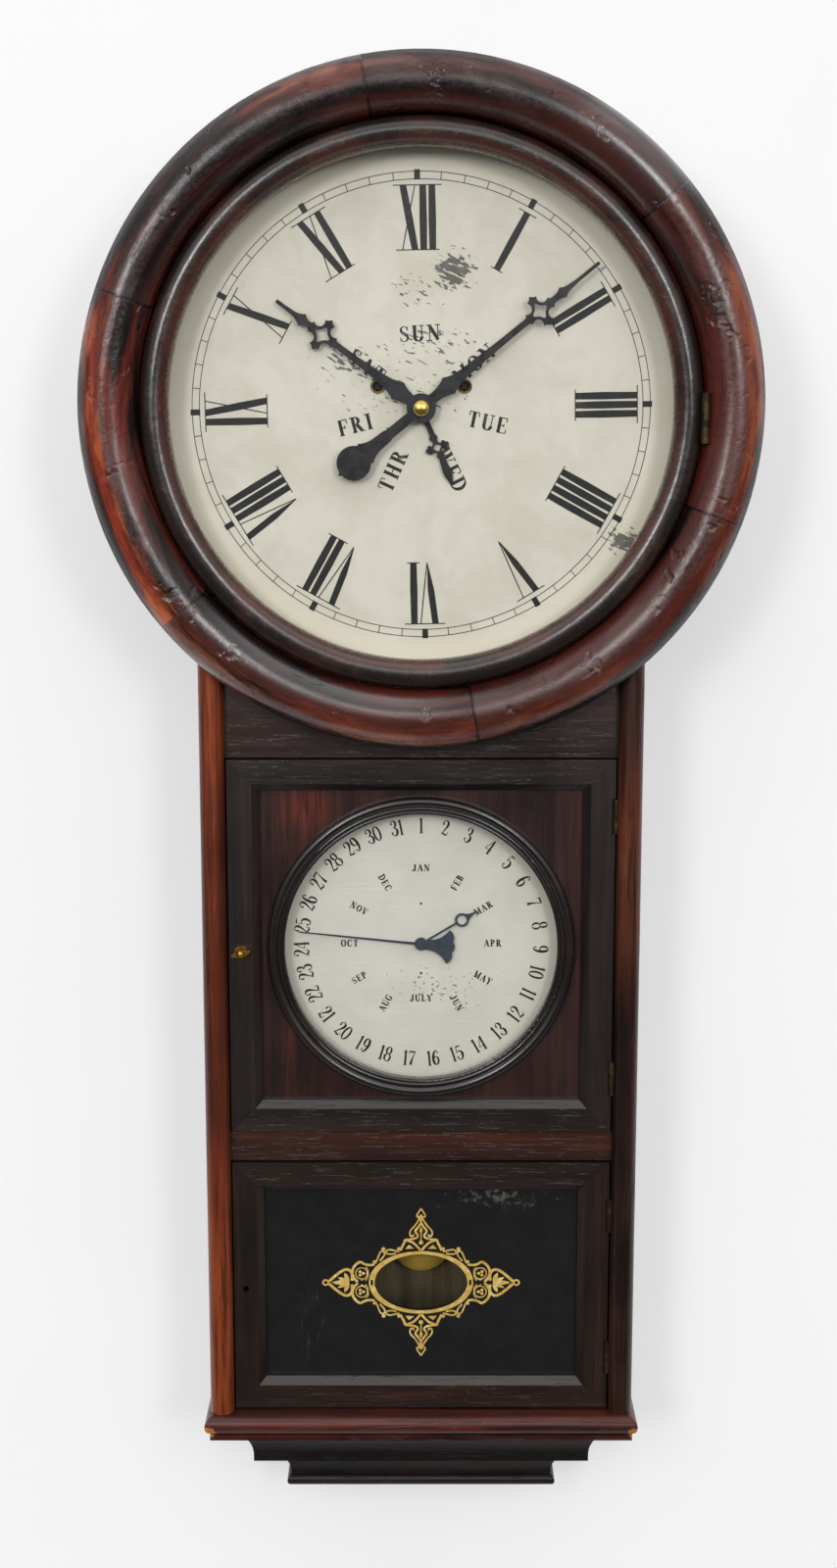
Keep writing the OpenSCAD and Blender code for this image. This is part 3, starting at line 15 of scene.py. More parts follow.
import bpy
import numpy as np
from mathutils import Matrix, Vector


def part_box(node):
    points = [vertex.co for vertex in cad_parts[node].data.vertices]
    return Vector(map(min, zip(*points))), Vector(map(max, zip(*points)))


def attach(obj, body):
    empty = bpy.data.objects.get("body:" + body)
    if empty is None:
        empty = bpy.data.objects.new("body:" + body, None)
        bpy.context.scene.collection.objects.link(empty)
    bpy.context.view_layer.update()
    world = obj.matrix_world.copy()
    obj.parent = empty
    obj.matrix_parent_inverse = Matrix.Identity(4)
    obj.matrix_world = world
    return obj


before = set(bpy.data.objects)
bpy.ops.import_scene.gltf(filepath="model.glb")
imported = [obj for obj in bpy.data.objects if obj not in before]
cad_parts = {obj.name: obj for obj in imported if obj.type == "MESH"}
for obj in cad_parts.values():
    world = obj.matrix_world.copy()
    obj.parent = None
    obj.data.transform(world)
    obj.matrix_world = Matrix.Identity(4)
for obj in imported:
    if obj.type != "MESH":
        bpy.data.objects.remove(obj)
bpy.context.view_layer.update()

LOG = logging.getLogger("regulator")
MM = 0.001
DIAL_Z = -0.150
CALENDAR_Z = -0.490
TABLET_Z = -0.718
GLASS_IOR = 1.45
GLASS_SHINE = 0.6
TINY = 1e-12

Spots = tuple[tuple[float, ...], ...]


def linear(code: str) -> tuple[float, float, float, float]:
    """Turn a #rrggbb colour into the linear RGBA that a shader socket takes."""
    part = np.array([int(code[k:k + 2], 16) for k in (1, 3, 5)]) / 255
    rgb = np.where(part <= 0.04045, part / 12.92, ((part + 0.055) / 1.055) ** 2.4)
    return (*rgb.tolist(), 1.0)


def joins(operation: str, swapped: bool = False) -> Callable[..., "Wire"]:
    """Make a Wire method that joins the wire and another value in one Math node.

    Args:
        operation: The Math node's operation.
        swapped: Whether the other value comes first.

    Returns:
        The method; an operation on one value leaves the other out.
    """
    def method(self: "Wire", other: "Value | None" = None) -> "Wire":
        """Add the Math node and give its result."""
        return self.graph.math(operation, *((other, self) if swapped else (self, other)))

    return method


class Wire:
    """One output socket of a shader graph, used as a number in plain arithmetic.

    A comparison gives one where it holds and zero elsewhere.
    """

    def __init__(self, graph: "Graph", socket: bpy.types.NodeSocket) -> None:
        """Keep the socket and the graph that it belongs to."""
        self.graph = graph
        self.socket = socket

    __add__ = __radd__ = joins("ADD")
    __sub__ = joins("SUBTRACT")
    __rsub__ = joins("SUBTRACT", swapped=True)
    __mul__ = __rmul__ = joins("MULTIPLY")
    __truediv__ = joins("DIVIDE")
    __pow__ = joins("POWER")
    __lt__ = joins("LESS_THAN")
    __abs__ = joins("ABSOLUTE")
    floor = joins("FLOOR")
    most = joins("MAXIMUM")
    least = joins("MINIMUM")

    def step(self, low: float, high: float) -> "Wire":
        """Smooth rise from zero at low to one at high; it falls where low is the larger."""
        ends = (0.0, 1.0) if low < high else (1.0, 0.0)
        inputs = {"Value": self, "From Min": min(low, high), "From Max": max(low, high),
                  "To Min": ends[0], "To Max": ends[1]}
        return self.graph.node("MapRange", {"interpolation_type": "SMOOTHSTEP"}, inputs)


Value = Union[float, Wire]
Colour = Union[str, Wire]


class Graph:
    """A material's or the world's node tree, written as expressions on wires."""

    def __init__(self, owner: Union[bpy.types.Material, bpy.types.World]) -> None:
        """Empty the owner's node tree.

        Args:
            owner: The material or world that the nodes belong to.
        """
        owner.use_nodes = True
        self.tree = owner.node_tree
        self.tree.nodes.clear()

    def node(self, kind: str, settings: Mapping[str, Any] | None = None,
             inputs: Mapping[Union[str, int], Any] | None = None, out: Union[str, int] = 0) -> Wire:
        """Add any shader node.

        Args:
            kind: Node type without its ShaderNode prefix.
            settings: Attributes that are set before the sockets.
            inputs: Values or wires by socket name or index.
            out: Name or index of the output socket.

        Returns:
            The chosen output.
        """
        node = self.tree.nodes.new("ShaderNode" + kind)
        for key, value in (settings or {}).items():
            setattr(node, key, value)
        for key, value in (inputs or {}).items():
            if isinstance(value, Wire):
                self.tree.links.new(value.socket, node.inputs[key])
            elif value is not None:
                node.inputs[key].default_value = linear(value) if isinstance(value, str) else value
        return Wire(self, node.outputs[out])

    def math(self, operation: str, first: Value, second: Value | None = None) -> Wire:
        """Add a Math node on one or two values."""
        return self.node("Math", {"operation": operation}, {0: first, 1: second})

    def mix(self, share: Value, first: Colour, second: Colour) -> Wire:
        """Blend from the first colour to the second by a share."""
        return self.node("Mix", {"data_type": "RGBA"}, {0: share, 6: first, 7: second}, 2)

    def layers(self, colour: Colour, *coats: tuple[Value, Colour]) -> Wire:
        """Blend a colour toward each coat's colour in turn, by the coat's share."""
        for share, coat in coats:
            colour = self.mix(share, colour, coat)
        return colour

    def split(self, vector: Wire) -> tuple[Wire, ...]:
        """Part a vector into its three values."""
        return tuple(self.node("SeparateXYZ", None, {0: vector}, k) for k in range(3))

    def place(self) -> tuple[Wire, ...]:
        """Give the object coordinates as three values and as one vector."""
        spot = self.node("TexCoord", out="Object")
        return *self.split(spot), spot

    def rays(self, *kinds: str) -> tuple[Wire, ...]:
        """Give for each kind of ray one where such a ray is traced, else zero."""
        return tuple(self.node("LightPath", out=f"Is {kind} Ray") for kind in kinds)

    def vector(self, x: Value, y: Value, z: Value) -> Wire:
        """Join three values into a vector."""
        return self.node("CombineXYZ", None, {0: x, 1: y, 2: z})

    def noise(self, spot: Union[Wire, tuple[Value, Value, Value]], scale: float, detail: float = 4.0,
              rough: float = 0.55, bend: float = 0.0) -> Wire:
        """Fractal noise about one half at a spot.

        Args:
            spot: The vector that is sampled, or its three values.
            scale: Cells per unit of the vector.
            detail: Octaves.
            rough: Strength of each finer octave.
            bend: Distortion.

        Returns:
            The noise value.
        """
        inputs = {"Vector": spot if isinstance(spot, Wire) else self.vector(*spot), "Scale": scale,
                  "Detail": detail, "Roughness": rough, "Distortion": bend}
        return self.node("TexNoise", None, inputs)

    def cracks(self, spot: Wire, scale: float, width: float) -> Wire:
        """One along the borders of irregular cells, zero inside them."""
        inputs = {"Vector": spot, "Scale": scale}
        border = self.node("TexVoronoi", {"feature": "DISTANCE_TO_EDGE"}, inputs, "Distance")
        return border.step(width, 0.0)

    def bump(self, height: Wire, distance: float) -> Wire:
        """Turn a height into a normal; the distance is how far a height of one stands out."""
        return self.node("Bump", None, {"Strength": 1.0, "Distance": distance, "Height": height})

    def shader(self, colour: Colour, roughness: Value, normal: Wire | None = None, metallic: Value = 0.0,
               coat: Value = 0.0, coat_roughness: float = 0.1, specular: float = 0.5) -> Wire:
        """Add the surface shader.

        Args:
            colour: Base colour.
            roughness: Spread of the reflections.
            normal: Bumped normal.
            metallic: Share of bare metal.
            coat: Weight of the clear coat.
            coat_roughness: Spread of the coat's reflections.
            specular: Level of the base's reflections.

        Returns:
            The shader's output.
        """
        inputs = {"Base Color": colour, "Roughness": roughness, "Normal": normal, "Metallic": metallic,
                  "Coat Weight": coat, "Coat Roughness": coat_roughness, "Specular IOR Level": specular}
        return self.node("BsdfPrincipled", None, inputs)

    def blend(self, share: Value, first: Wire, second: Wire) -> Wire:
        """Mix two shaders."""
        return self.node("MixShader", None, {0: share, 1: first, 2: second})

    def pane(self, clear: str, mirror: str, roughness: float, normal: Wire | None = None) -> Wire:
        """Mix see-through and mirror by the slant, with the mirror on the outer face alone.

        Args:
            clear: Colour of what is seen through it.
            mirror: Colour of its reflections.
            roughness: Spread of its reflections.
            normal: Bumped normal.

        Returns:
            The glass shader.
        """
        slant = self.node("Fresnel", None, {"IOR": GLASS_IOR, "Normal": normal})
        outside = 1.0 - self.node("NewGeometry", out="Backfacing")
        through = self.node("BsdfTransparent", None, {"Color": clear})
        shine = {"Color": mirror, "Roughness": roughness, "Normal": normal}
        glint = self.node("BsdfGlossy", None, shine)
        return self.blend(slant * outside * GLASS_SHINE, through, glint)

    def show(self, surface: Wire, kind: str = "OutputMaterial") -> None:
        """Send a shader to the tree's output node."""
        end = self.tree.nodes.new("ShaderNode" + kind)
        self.tree.links.new(surface.socket, end.inputs["Surface"])


def apart(*gaps: Wire) -> Wire:
    """Length of a vector: the root of the sum of its parts' squares."""
    return reduce(Wire.__add__, [gap * gap for gap in gaps]) ** 0.5


class GrainRun(Enum):
    """Which way the grain of a timber runs."""

    ACROSS = "along X"
    DEEP = "along Y"
    UPRIGHT = "along Z"
    MITRED = "along each rail of a mitred frame"


@dataclass(frozen=True)
class Finish:
    """A named finish that makes its material once."""

    name: str

    def material(self) -> bpy.types.Material:
        """Give the finish's material, made on first use."""
        if self.name not in MADE:
            MADE[self.name] = bpy.data.materials.new(self.name)
            graph = Graph(MADE[self.name])
            graph.show(self.surface(graph))
        return MADE[self.name]

    def surface(self, g: Graph) -> Wire:
        """Write the finish's shader into a graph."""
        raise NotImplementedError


MADE: dict[str, bpy.types.Material] = {}


@dataclass(frozen=True)
class Timber(Finish):
    """Varnished wood: drifting dark and light figure, fine pores and a worn clear coat.

    A warm stretch is given by X, Z and its reach; a bare chip by its place, reach and depth.
    """

    dark: str = "#140b09"
    body: str = "#3a1710"
    light: str = "#7a3217"
    run: GrainRun = GrainRun.UPRIGHT
    streak: float = 260.0
    stretch: float = 22.0
    glow: float = 0.5
    pores: float = 0.6
    gloss: float = 0.3
    coat: float = 0.2
    craze: float = 0.0
    warm: Spots = ()
    warmth: float = 0.8
    shade: tuple[float, float] = (0.36, 0.62)
    panel: tuple[float, float, float] = (0.1225, -0.5, 0.1)
    bare: Spots = ()
    raw: tuple[str, str] = ("#8a4a1c", "#d08a3e")
    specular: float = 0.5

    def grain(self, g: Graph, x: Wire, y: Wire, z: Wire) -> Wire:
        """Stretch space so that noise sampled in it runs along the grain."""
        wide, long = self.streak, self.streak / self.stretch
        if self.run is GrainRun.MITRED:
            half, middle, rise = self.panel
            turned = ((half - abs(x)) < (rise - abs(z - middle))) * (wide - long)
            return g.vector(x * (long + turned), y * wide, z * (wide - turned))
        axis = list(GrainRun).index(self.run)
        return g.vector(*(part * (long if k == axis else wide) for k, part in enumerate((x, y, z))))

    def surface(self, g: Graph) -> Wire:
        """Layer patches, fibres, pores and bare chips, then coat them."""
        x, y, z, spot = g.place()
        grain = self.grain(g, x, y, z)
        fibre = g.noise(grain, 1.0, 8.0, 0.62, 0.6)
        figure = g.noise(grain, 0.16, 5.0, 0.6, 1.2)
        pore = g.noise(grain, 3.1, 3.0, 0.7)
        cloud = g.noise(spot, 16.0, 3.0, 0.5)
        coats = [(fibre.step(0.46, 0.72) * figure.step(0.42, 0.66) * self.glow, self.light)]
        for cx, cz, reach in self.warm:
            near = (apart(x - cx, z - cz) / reach + figure - 0.5).step(1.0, 0.2)
            coats.append((near * fibre.step(0.3, 0.6) * self.warmth, self.light))
        coats.append((pore.step(0.56, 0.7) * self.pores, self.dark))
        patches = (figure * 0.7 + cloud * 0.3).step(*self.shade)
        colour = g.layers(g.mix(patches, self.dark, self.body), *coats)
        rough = self.gloss + (fibre - 0.5) * 0.22 + (cloud - 0.5) * 0.25
        height = fibre * 0.35 - pore.step(0.58, 0.72) * 0.4
        if self.craze:
            crazing = g.cracks(grain, 0.35, 0.05) * cloud.step(0.42, 0.6)
            height = height - crazing * self.craze
            rough = rough + crazing * 0.2
        for cx, cy, cz, reach, depth in self.bare:
            ragged = g.noise(spot, 420.0, 4.0, 0.6) * 0.9 + g.noise(spot, 90.0, 2.0) * 0.6
            chip = (apart(x - cx, y - cy, z - cz) / reach + ragged - 0.75).step(0.62, 0.5)
            colour = g.mix(chip, colour, g.mix(fibre.step(0.3, 0.7), *self.raw))
            rough = rough + chip * 0.35
            height = height - chip * depth
        return g.shader(colour, rough, g.bump(height, 0.00035), coat=self.coat, coat_roughness=0.16,
                        specular=self.specular)


@dataclass(frozen=True)
class RingVarnish(Finish):
    """Old varnish on a ring of six curved blocks, worn through to red along its outer shoulder.

    Each block has its own share of red. A rubbed stretch is given by X, Z and its reach.
    """

    centre: float = DIAL_Z
    outer: float = 0.207
    width: float = 0.0365
    first_joint: float = 50.0
    warmth: tuple[float, ...] = (0.50, 0.30, 0.42, 1.3, 0.40, 0.18)
    rubbed: Spots = ((-0.0700, -0.3200, 0.105), (0.1266, 0.0009, 0.050))
    black: str = "#130b0a"
    brown: str = "#2f1611"
    red: str = "#7c2f20"
    deep: str = "#6c291f"
    orange: str = "#b25a2a"
    gap: str = "#070404"

    def surface(self, g: Graph) -> Wire:
        """Sample the figure in polar space, block by block, and craze the varnish over it."""
        x, y, z, spot = g.place()
        rise = z - self.centre
        radius = apart(x, rise)
        blocks = len(self.warmth)
        turn = g.math("ARCTAN2", x, rise) * (180 / math.pi)
        block = (turn - self.first_joint) * (blocks / 360)
        block = block + (block < 0.0) * blocks
        index = block.floor()
        share = block - index
        span = 2 * math.pi / blocks
        arc = share * span * radius
        joint = share.least(1.0 - share) * span * radius

        def polar(along: float, across: float, jump: float = 1.0) -> Wire:
            """Stretch space along and across the ring, with a jump from block to block."""
            return g.vector(arc * along + index * jump, radius * across, y * across)

        grain = polar(17.0, 140.0, 3.7)
        figure = g.noise(grain, 0.32, 5.0, 0.6, 1.0)
        fibre = g.noise(grain, 1.9, 8.0, 0.62, 0.5)
        cloud = g.noise(polar(11.0, 42.0, 5.1), 1.0, 4.0, 0.55, 0.8)
        fine = g.noise(spot, 340.0, 5.0, 0.65)
        pore = g.noise(grain, 5.0, 3.0, 0.7)
        across = (self.outer - radius) / self.width
        ragged = across + (cloud - 0.5) * 0.7
        shoulder = ragged.step(0.07, 0.22) * ragged.step(0.58, 0.3)
        inner = ragged.step(0.38, 0.6) * figure.step(0.40, 0.58)
        streak = (fibre * 0.5 + cloud * 0.5).step(0.47, 0.62)
        seam = joint.step(0.0009, 0.0003)
        warm = sum(g.math("COMPARE", index, float(k)) * red for k, red in enumerate(self.warmth))
        colour = g.layers(g.mix((figure * 0.6 + cloud * 0.4).step(0.4, 0.6), self.black, self.brown),
                          ((shoulder * figure.step(0.36, 0.58) * warm * 0.95).least(1.0), self.red),
                          ((shoulder * streak * warm * 0.75).least(1.0), self.orange),
                          ((inner * warm * 0.75).least(1.0), self.deep),
                          (pore.step(0.56, 0.7) * 0.55, self.black), (seam * 0.85, self.gap))
        dents = g.noise(spot, 75.0, 2.0, 0.5).step(0.62, 0.72)
        swell = g.noise(polar(30.0, 60.0), 1.0, 3.0, 0.5)
        craze = g.cracks(polar(170.0, 110.0), 1.0, 0.08) * cloud.step(0.56, 0.7)
        height = swell * 1.6 + fine * 0.3 + fibre * 0.25 - dents * 1.2 - craze * 0.12 - seam * 1.2
        rough = 0.29 + (fine - 0.5) * 0.4 + (cloud - 0.5) * 0.3 + craze * 0.1
        rough = rough + across.step(0.12, 0.0) * 0.35
        shine = cloud.step(0.46, 0.6) * 0.45
        for cx, cz, reach in self.rubbed:
            rub = (apart(x - cx, z - cz) / reach).step(1.0, 0.5)
            shine = shine.most(rub)
            rough = rough - rub * 0.14
        return g.shader(colour, rough, g.bump(height, 0.0005), coat=shine, coat_roughness=0.24,
                        specular=0.4)


@dataclass(frozen=True)
class TurnedEbony(Finish):
    """Black-stained turned wood, glossy, with fine cracks across the turning and brown wear."""

    centre: float = DIAL_Z
    stain: str = "#1f1815"
    worn: str = "#4a271d"
    wear: float = 0.6
    gloss: float = 0.27
    grit: float = 1.0
    worn_rim: float = 0.0
    rim_width: float = 0.005

    def surface(self, g: Graph) -> Wire:
        """Sample rings and cracks in polar space round the turning's centre."""
        x, _, z, spot = g.place()
        rise = z - self.centre
        radius = apart(x, rise)
        cloud = g.noise(spot, 22.0, 4.0, 0.6, 0.6)
        rings = g.noise((x * 60.0, radius * 900.0, rise * 60.0), 1.0, 4.0, 0.6)
        fine = g.noise(spot, 420.0, 5.0, 0.6)
        swell = g.noise(spot, 60.0, 2.0)
        rim = radius.step(self.worn_rim, self.worn_rim - self.rim_width) * cloud.step(0.3, 0.55)
        worn = cloud.step(0.46, 0.68) * rings.step(0.35, 0.6) * self.wear
        colour = g.layers(self.stain, (worn, self.worn), (rim * 0.8, self.worn))
        hair = g.cracks(g.vector(x * 120.0, radius * 30.0, rise * 120.0), 1.0, 0.03)
        hair = hair * cloud.step(0.5, 0.66)
        rough = self.gloss + ((fine - 0.5) * 0.3 + hair * 0.1) * self.grit + (cloud - 0.5) * 0.25
        height = (swell * 1.2 + fine * 0.2 + rings * 0.3 - hair * 0.25) * self.grit
        return g.shader(colour, rough, g.bump(height, 0.0003), coat=0.25, coat_roughness=0.15)


@dataclass(frozen=True)
class DialPaint(Finish):
    """Aged cream paint on zinc, with flaked patches and specks that show the grey metal.

    A flake is given by X, Z, its half width, its half height and how readily the paint breaks there.
    """

    paint: str = "#d5d1c6"
    yellowed: str = "#cac5b7"
    # edge: paler, yellower cream for the band at the rim; painted light that offsets the shade of the
    # bezel and ring there, tinted yellower as the paint near its rim is
    edge: str = "#e6dfcb"
    metal: str = "#4b4b4c"
    dark_metal: str = "#353536"
    flakes: Spots = (
        (0.0195, -0.0690, 0.0115, 0.0110, 0.06),
        (0.1270, -0.2310, 0.0095, 0.0070, 0.07),
        (0.0020, -0.0800, 0.0260, 0.0140, -0.145),
        (-0.0440, -0.1210, 0.0240, 0.0110, -0.105),
        (0.0100, -0.1100, 0.0300, 0.0120, -0.125),
        (-0.0150, -0.1350, 0.0700, 0.0420, -0.195),
    )

    def surface(self, g: Graph) -> Wire:
        """Cloud the paint, then break it where noise passes each flake's own falling threshold."""
        x, y, z, spot = g.place()
        cloud = g.noise(spot, 24.0, 5.0, 0.6, 0.4)
        mottle = g.noise(spot, 170.0, 4.0, 0.6)
        chips = g.noise((x * 250.0 + z * 70.0, y * 20.0, z * 560.0 + x * 180.0), 1.0, 2.0, 0.5, 0.3)
        patches = []
        for cx, cz, wide, high, bias in self.flakes:
            near = (1.0 - apart((x - cx) / wide, (z - cz) / high)).most(-3.0).least(0.5)
            patches.append((chips + near * 0.3 + bias).step(0.60, 0.63))
        lost = reduce(Wire.most, patches)
        base = g.mix((cloud * 0.75 + mottle * 0.25).step(0.38, 0.66), self.paint, self.yellowed)
        # The rim band is painted light: it lightens the paint where the bezel and ring shade the dial.
        colour = g.layers(base, (apart(x, z - DIAL_Z).step(0.130, 0.156) * 0.7, self.edge),
                          (lost * 0.85, g.mix(mottle.step(0.4, 0.6), self.metal, self.dark_metal)))
        rough = 0.5 + (mottle - 0.5) * 0.2 + lost * 0.1
        return g.shader(colour, rough, g.bump(mottle * 0.3 - lost * 0.8, 0.00012), specular=0.35)


@dataclass(frozen=True)
class Silvering(Finish):
    """Silvered plate with fine scratches from side to side and a little tarnish."""

    plate: str = "#d9d6cf"
    cloudy: str = "#cfccc3"
    shadow: str = "#d0ccbf"
    scratch: str = "#e9e7e3"
    tarnish: str = "#4c4740"
    spotted: tuple[float, float, float, float] = (0.012, -0.520, 0.04, 0.018)

    def surface(self, g: Graph) -> Wire:
        """Cloud the silver, rule it with scratches and spot it with tarnish."""
        x, y, z, spot = g.place()
        cloud = g.noise(spot, 32.0, 4.0, 0.6)
        rule = g.noise((x * 30.0, y, z * 1600.0), 1.0, 3.0, 0.6)
        deep = g.noise((x * 16.0, y, z * 900.0), 1.0, 2.0, 0.5, 0.4).step(0.66, 0.74)
        specks = g.noise((x * 330.0, y, z * 520.0), 1.0, 2.0, 0.5)
        cx, cz, wide, high = self.spotted
        near = (1.0 - apart((x - cx) / wide, (z - cz) / high)).most(-1.0)
        dull = (specks + near * 0.12).step(0.68, 0.73)
        colour = g.layers(g.mix((cloud * 0.6 + rule * 0.4).step(0.36, 0.66), self.plate, self.cloudy),
                          (apart(x, z - CALENDAR_Z).step(0.070, 0.088) * 0.5, self.shadow),
                          (deep * 0.6, self.scratch), (dull * 0.75, self.tarnish))
        rough = 0.42 + (rule - 0.5) * 0.3 + dull * 0.2
        return g.shader(colour, rough, g.bump(rule * 0.5 + deep * 0.5, 0.00006), metallic=0.15)


@dataclass(frozen=True)
class Metal(Finish):
    """Worked metal: brushed along one way, clouded by tarnish and pitted."""

    bright: str = "#b98f3c"
    tarnish: str = "#5d431b"
    aged: tuple[float, float] = (0.5, 0.72)
    rough: float = 0.3
    metallic: float = 1.0

    def surface(self, g: Graph) -> Wire:
        """Cloud the metal with tarnish and let the brushing spread its reflections."""
        x, y, z, spot = g.place()
        dull = g.noise(spot, 130.0, 5.0, 0.6, 0.5).step(*self.aged)
        brush = g.noise((x * 250.0, y * 250.0, z * 2600.0), 1.0, 3.0, 0.6)
        pits = g.noise(spot, 1500.0, 2.0, 0.5).step(0.66, 0.74)
        colour = g.mix(dull, self.bright, self.tarnish)
        rough = self.rough + dull * 0.18 + (brush - 0.5) * 0.16 + pits * 0.15
        return g.shader(colour, rough, g.bump(brush * 0.4 - pits * 0.6, 0.00005), metallic=self.metallic)


@dataclass(frozen=True)
class WoundWheel(Metal):
    """A brass wheel on a steel arbor with a square end, coloured near black as painted shade inside the
    winding hole.
    """

    axis: tuple[float, float] = (0.0266, -0.1368)
    arbor: float = 0.0034
    steel: str = "#15130f"

    def surface(self, g: Graph) -> Wire:
        """Put near-black steel, painted shade of the winding hole, within the arbor's radius and brass
        outside it.
        """
        x, _, z, _ = g.place()
        # Painted shade: the arbor end sits deep in the winding hole, so it is coloured near black.
        inside = apart(abs(x) - self.axis[0], z - self.axis[1]).step(self.arbor, self.arbor - 0.0002)
        return g.blend(inside, super().surface(g), g.shader(self.steel, 0.3, metallic=0.3))


@dataclass(frozen=True)
class Gilding(Finish):
    """Gold leaf under lacquer, paler in the middle of a stroke's clouds and orange where it thins."""

    leaf: str = "#dfbb60"
    pale: str = "#f2dc98"
    thin: str = "#cf9d49"

    def surface(self, g: Graph) -> Wire:
        """Cloud the leaf between its pale, full and thin colours."""
        *_, spot = g.place()
        cloud = g.noise(spot, 260.0, 4.0, 0.6)
        grit = g.noise(spot, 1800.0, 3.0, 0.6)
        colour = g.layers(self.leaf, (cloud.step(0.5, 0.66), self.pale),
                          (cloud.step(0.46, 0.34) * 0.8, self.thin))
        return g.shader(colour, 0.38 + (grit - 0.5) * 0.3, g.bump(grit, 0.00004), metallic=0.35)


@dataclass(frozen=True)
class Ink(Finish):
    """Printing ink that has thinned and flaked in places."""

    black: str = "#17181a"
    faded: str = "#4c4b47"
    loss: float = 0.5

    def surface(self, g: Graph) -> Wire:
        """Fade the ink in clouds and grain it finely."""
        *_, spot = g.place()
        cloud = g.noise(spot, 70.0, 4.0, 0.6)
        grit = g.noise(spot, 1300.0, 3.0, 0.6)
        colour = g.mix((cloud * 0.6 + grit * 0.4).step(0.52, 0.68) * self.loss, self.black, self.faded)
        return g.shader(colour, 0.5 + (grit - 0.5) * 0.3, g.bump(grit, 0.00003), specular=0.3)


@dataclass(frozen=True)
class ClearGlass(Finish):
    """Thin window glass: see-through, with a soft reflection that grows at a slant."""

    tint: str = "#fefefd"

    def surface(self, g: Graph) -> Wire:
        """Wave the old glass a little."""
        *_, spot = g.place()
        return g.pane(self.tint, self.tint, 0.03, g.bump(g.noise(spot, 30.0, 2.0), 0.0002))


@dataclass(frozen=True)
class TabletGlass(Finish):
    """Glass painted black behind, all but an oval window, with grey scuffs in the paint.

    The smear and the streak are given by X, Z, half width and half height.
    """

    window: tuple[float, float] = (0.0318, 0.0190)
    smear: tuple[float, float, float, float] = (0.050, -0.6585, 0.045, 0.010)
    streak: tuple[float, float, float, float] = (-0.074, -0.745, 0.010, 0.030)
    paint: tuple[str, str] = ("#1a1a1b", "#1e1e1f")
    dust: str = "#8d8c89"
    clear: str = "#fbf8ee"
    mirror: str = "#f4f6f3"

    def surface(self, g: Graph) -> Wire:
        """Cut the oval where (x/a)^2 + (z/b)^2 is under one; scuff the rest."""
        x, y, z, spot = g.place()

        def near(cx: float, cz: float, wide: float, high: float) -> Wire:
            """One at a scuff's middle, falling with distance to minus one."""
            return (1.0 - apart((x - cx) / wide, (z - cz) / high)).most(-1.0)

        oval = apart(x / self.window[0], (z - TABLET_Z) / self.window[1])
        cloud = g.noise(spot, 60.0, 4.0, 0.6)
        dust = g.noise(spot, 900.0, 4.0, 0.7)
        smear = (g.noise(spot, 210.0, 4.0, 0.6) + near(*self.smear) * 0.2).step(0.6, 0.8)
        drawn = g.noise((x * 500.0, y, z * 60.0), 1.0, 3.0)
        streak = (drawn + near(*self.streak) * 0.15).step(0.62, 0.8)
        scuff = (smear * 0.32).most(streak * 0.12)
        colour = g.mix(scuff, g.mix(cloud.step(0.4, 0.7), *self.paint), self.dust)
        rough = 0.12 + (dust - 0.5) * 0.12 + scuff * 0.4
        painted = g.shader(colour, rough, g.bump(dust * 0.2 + cloud, 0.00008), specular=0.4)
        return g.blend(oval.step(0.99, 1.01), g.pane(self.clear, self.mirror, 0.05), painted)


@dataclass(frozen=True)
class Plaster(Finish):
    """Pale wall or floor, see-through from behind so that the clock's back can be looked at."""

    paint: str = "#f5f5f6"
    cloudy: str = "#f1f1f3"
    veil: float = 0.45
    veil_level: float = 0.94

    def surface(self, g: Graph) -> Wire:
        """Paint the front, veil it for the eye so that shadows stay light, and let light through."""
        *_, spot = g.place()
        colour = g.mix(g.noise(spot, 3.0, 3.0).step(0.3, 0.7), self.paint, self.cloudy)
        front = g.shader(colour, 0.9, specular=0.1)
        glow = g.node("Emission", None, {"Color": "#ffffff", "Strength": self.veil_level})
        eye, mirrored, through, shadow = g.rays("Camera", "Glossy", "Transmission", "Shadow")
        front = g.blend(eye.most(mirrored).most(through) * self.veil, front, glow)
        behind = g.node("NewGeometry", out="Backfacing")
        return g.blend(behind.most(shadow), front, g.node("BsdfTransparent"))


def mesh_piece(name: str, points: Sequence[Sequence[float]], faces: Sequence[Sequence[int]],
               finish: Finish) -> bpy.types.Object:
    """Make one flat-shaded mesh object at the origin and dress it.

    Args:
        name: The piece's name.
        points: Vertex places, each X, Y and Z.
        faces: Vertex numbers of each face.
        finish: Its finish.

    Returns:
        The object.
    """
    mesh = bpy.data.meshes.new(name)
    mesh.from_pydata(points, [], faces)
    mesh.polygons.foreach_set("use_smooth", np.zeros(len(mesh.polygons), bool))
    mesh.update()
    mesh.materials.append(finish.material())
    made = bpy.data.objects.new(name, mesh)
    bpy.context.scene.collection.objects.link(made)
    return made


def turn_by(points: np.ndarray, angle: float) -> np.ndarray:
    """Rotate flat points counter-clockwise by an angle in degrees."""
    c, s = math.cos(math.radians(angle)), math.sin(math.radians(angle))
    return points @ np.array([[c, s], [-s, c]])


def spline(knots: Sequence[Sequence[float]], steps: int = 6) -> np.ndarray:
    """Smooth path through knots: each span blends its four neighbours by the Catmull-Rom cubic.

    Args:
        knots: Points, each with any number of values.
        steps: Points made per span.

    Returns:
        The path, one row per point.
    """
    k = np.asarray(knots, float)
    k = np.vstack([2 * k[0] - k[1], k, 2 * k[-1] - k[-2]])
    t = np.linspace(0, 1, steps, endpoint=False)[None, :, None]
    a, b, c, d = (k[i:len(k) - 3 + i, None, :] for i in range(4))
    path = 0.5 * (2 * b + (c - a) * t + (2 * a - 5 * b + 4 * c - d) * t ** 2
                  + (3 * b - a - 3 * c + d) * t ** 3)
    return np.vstack([path.reshape(-1, k.shape[1]), k[-2]])


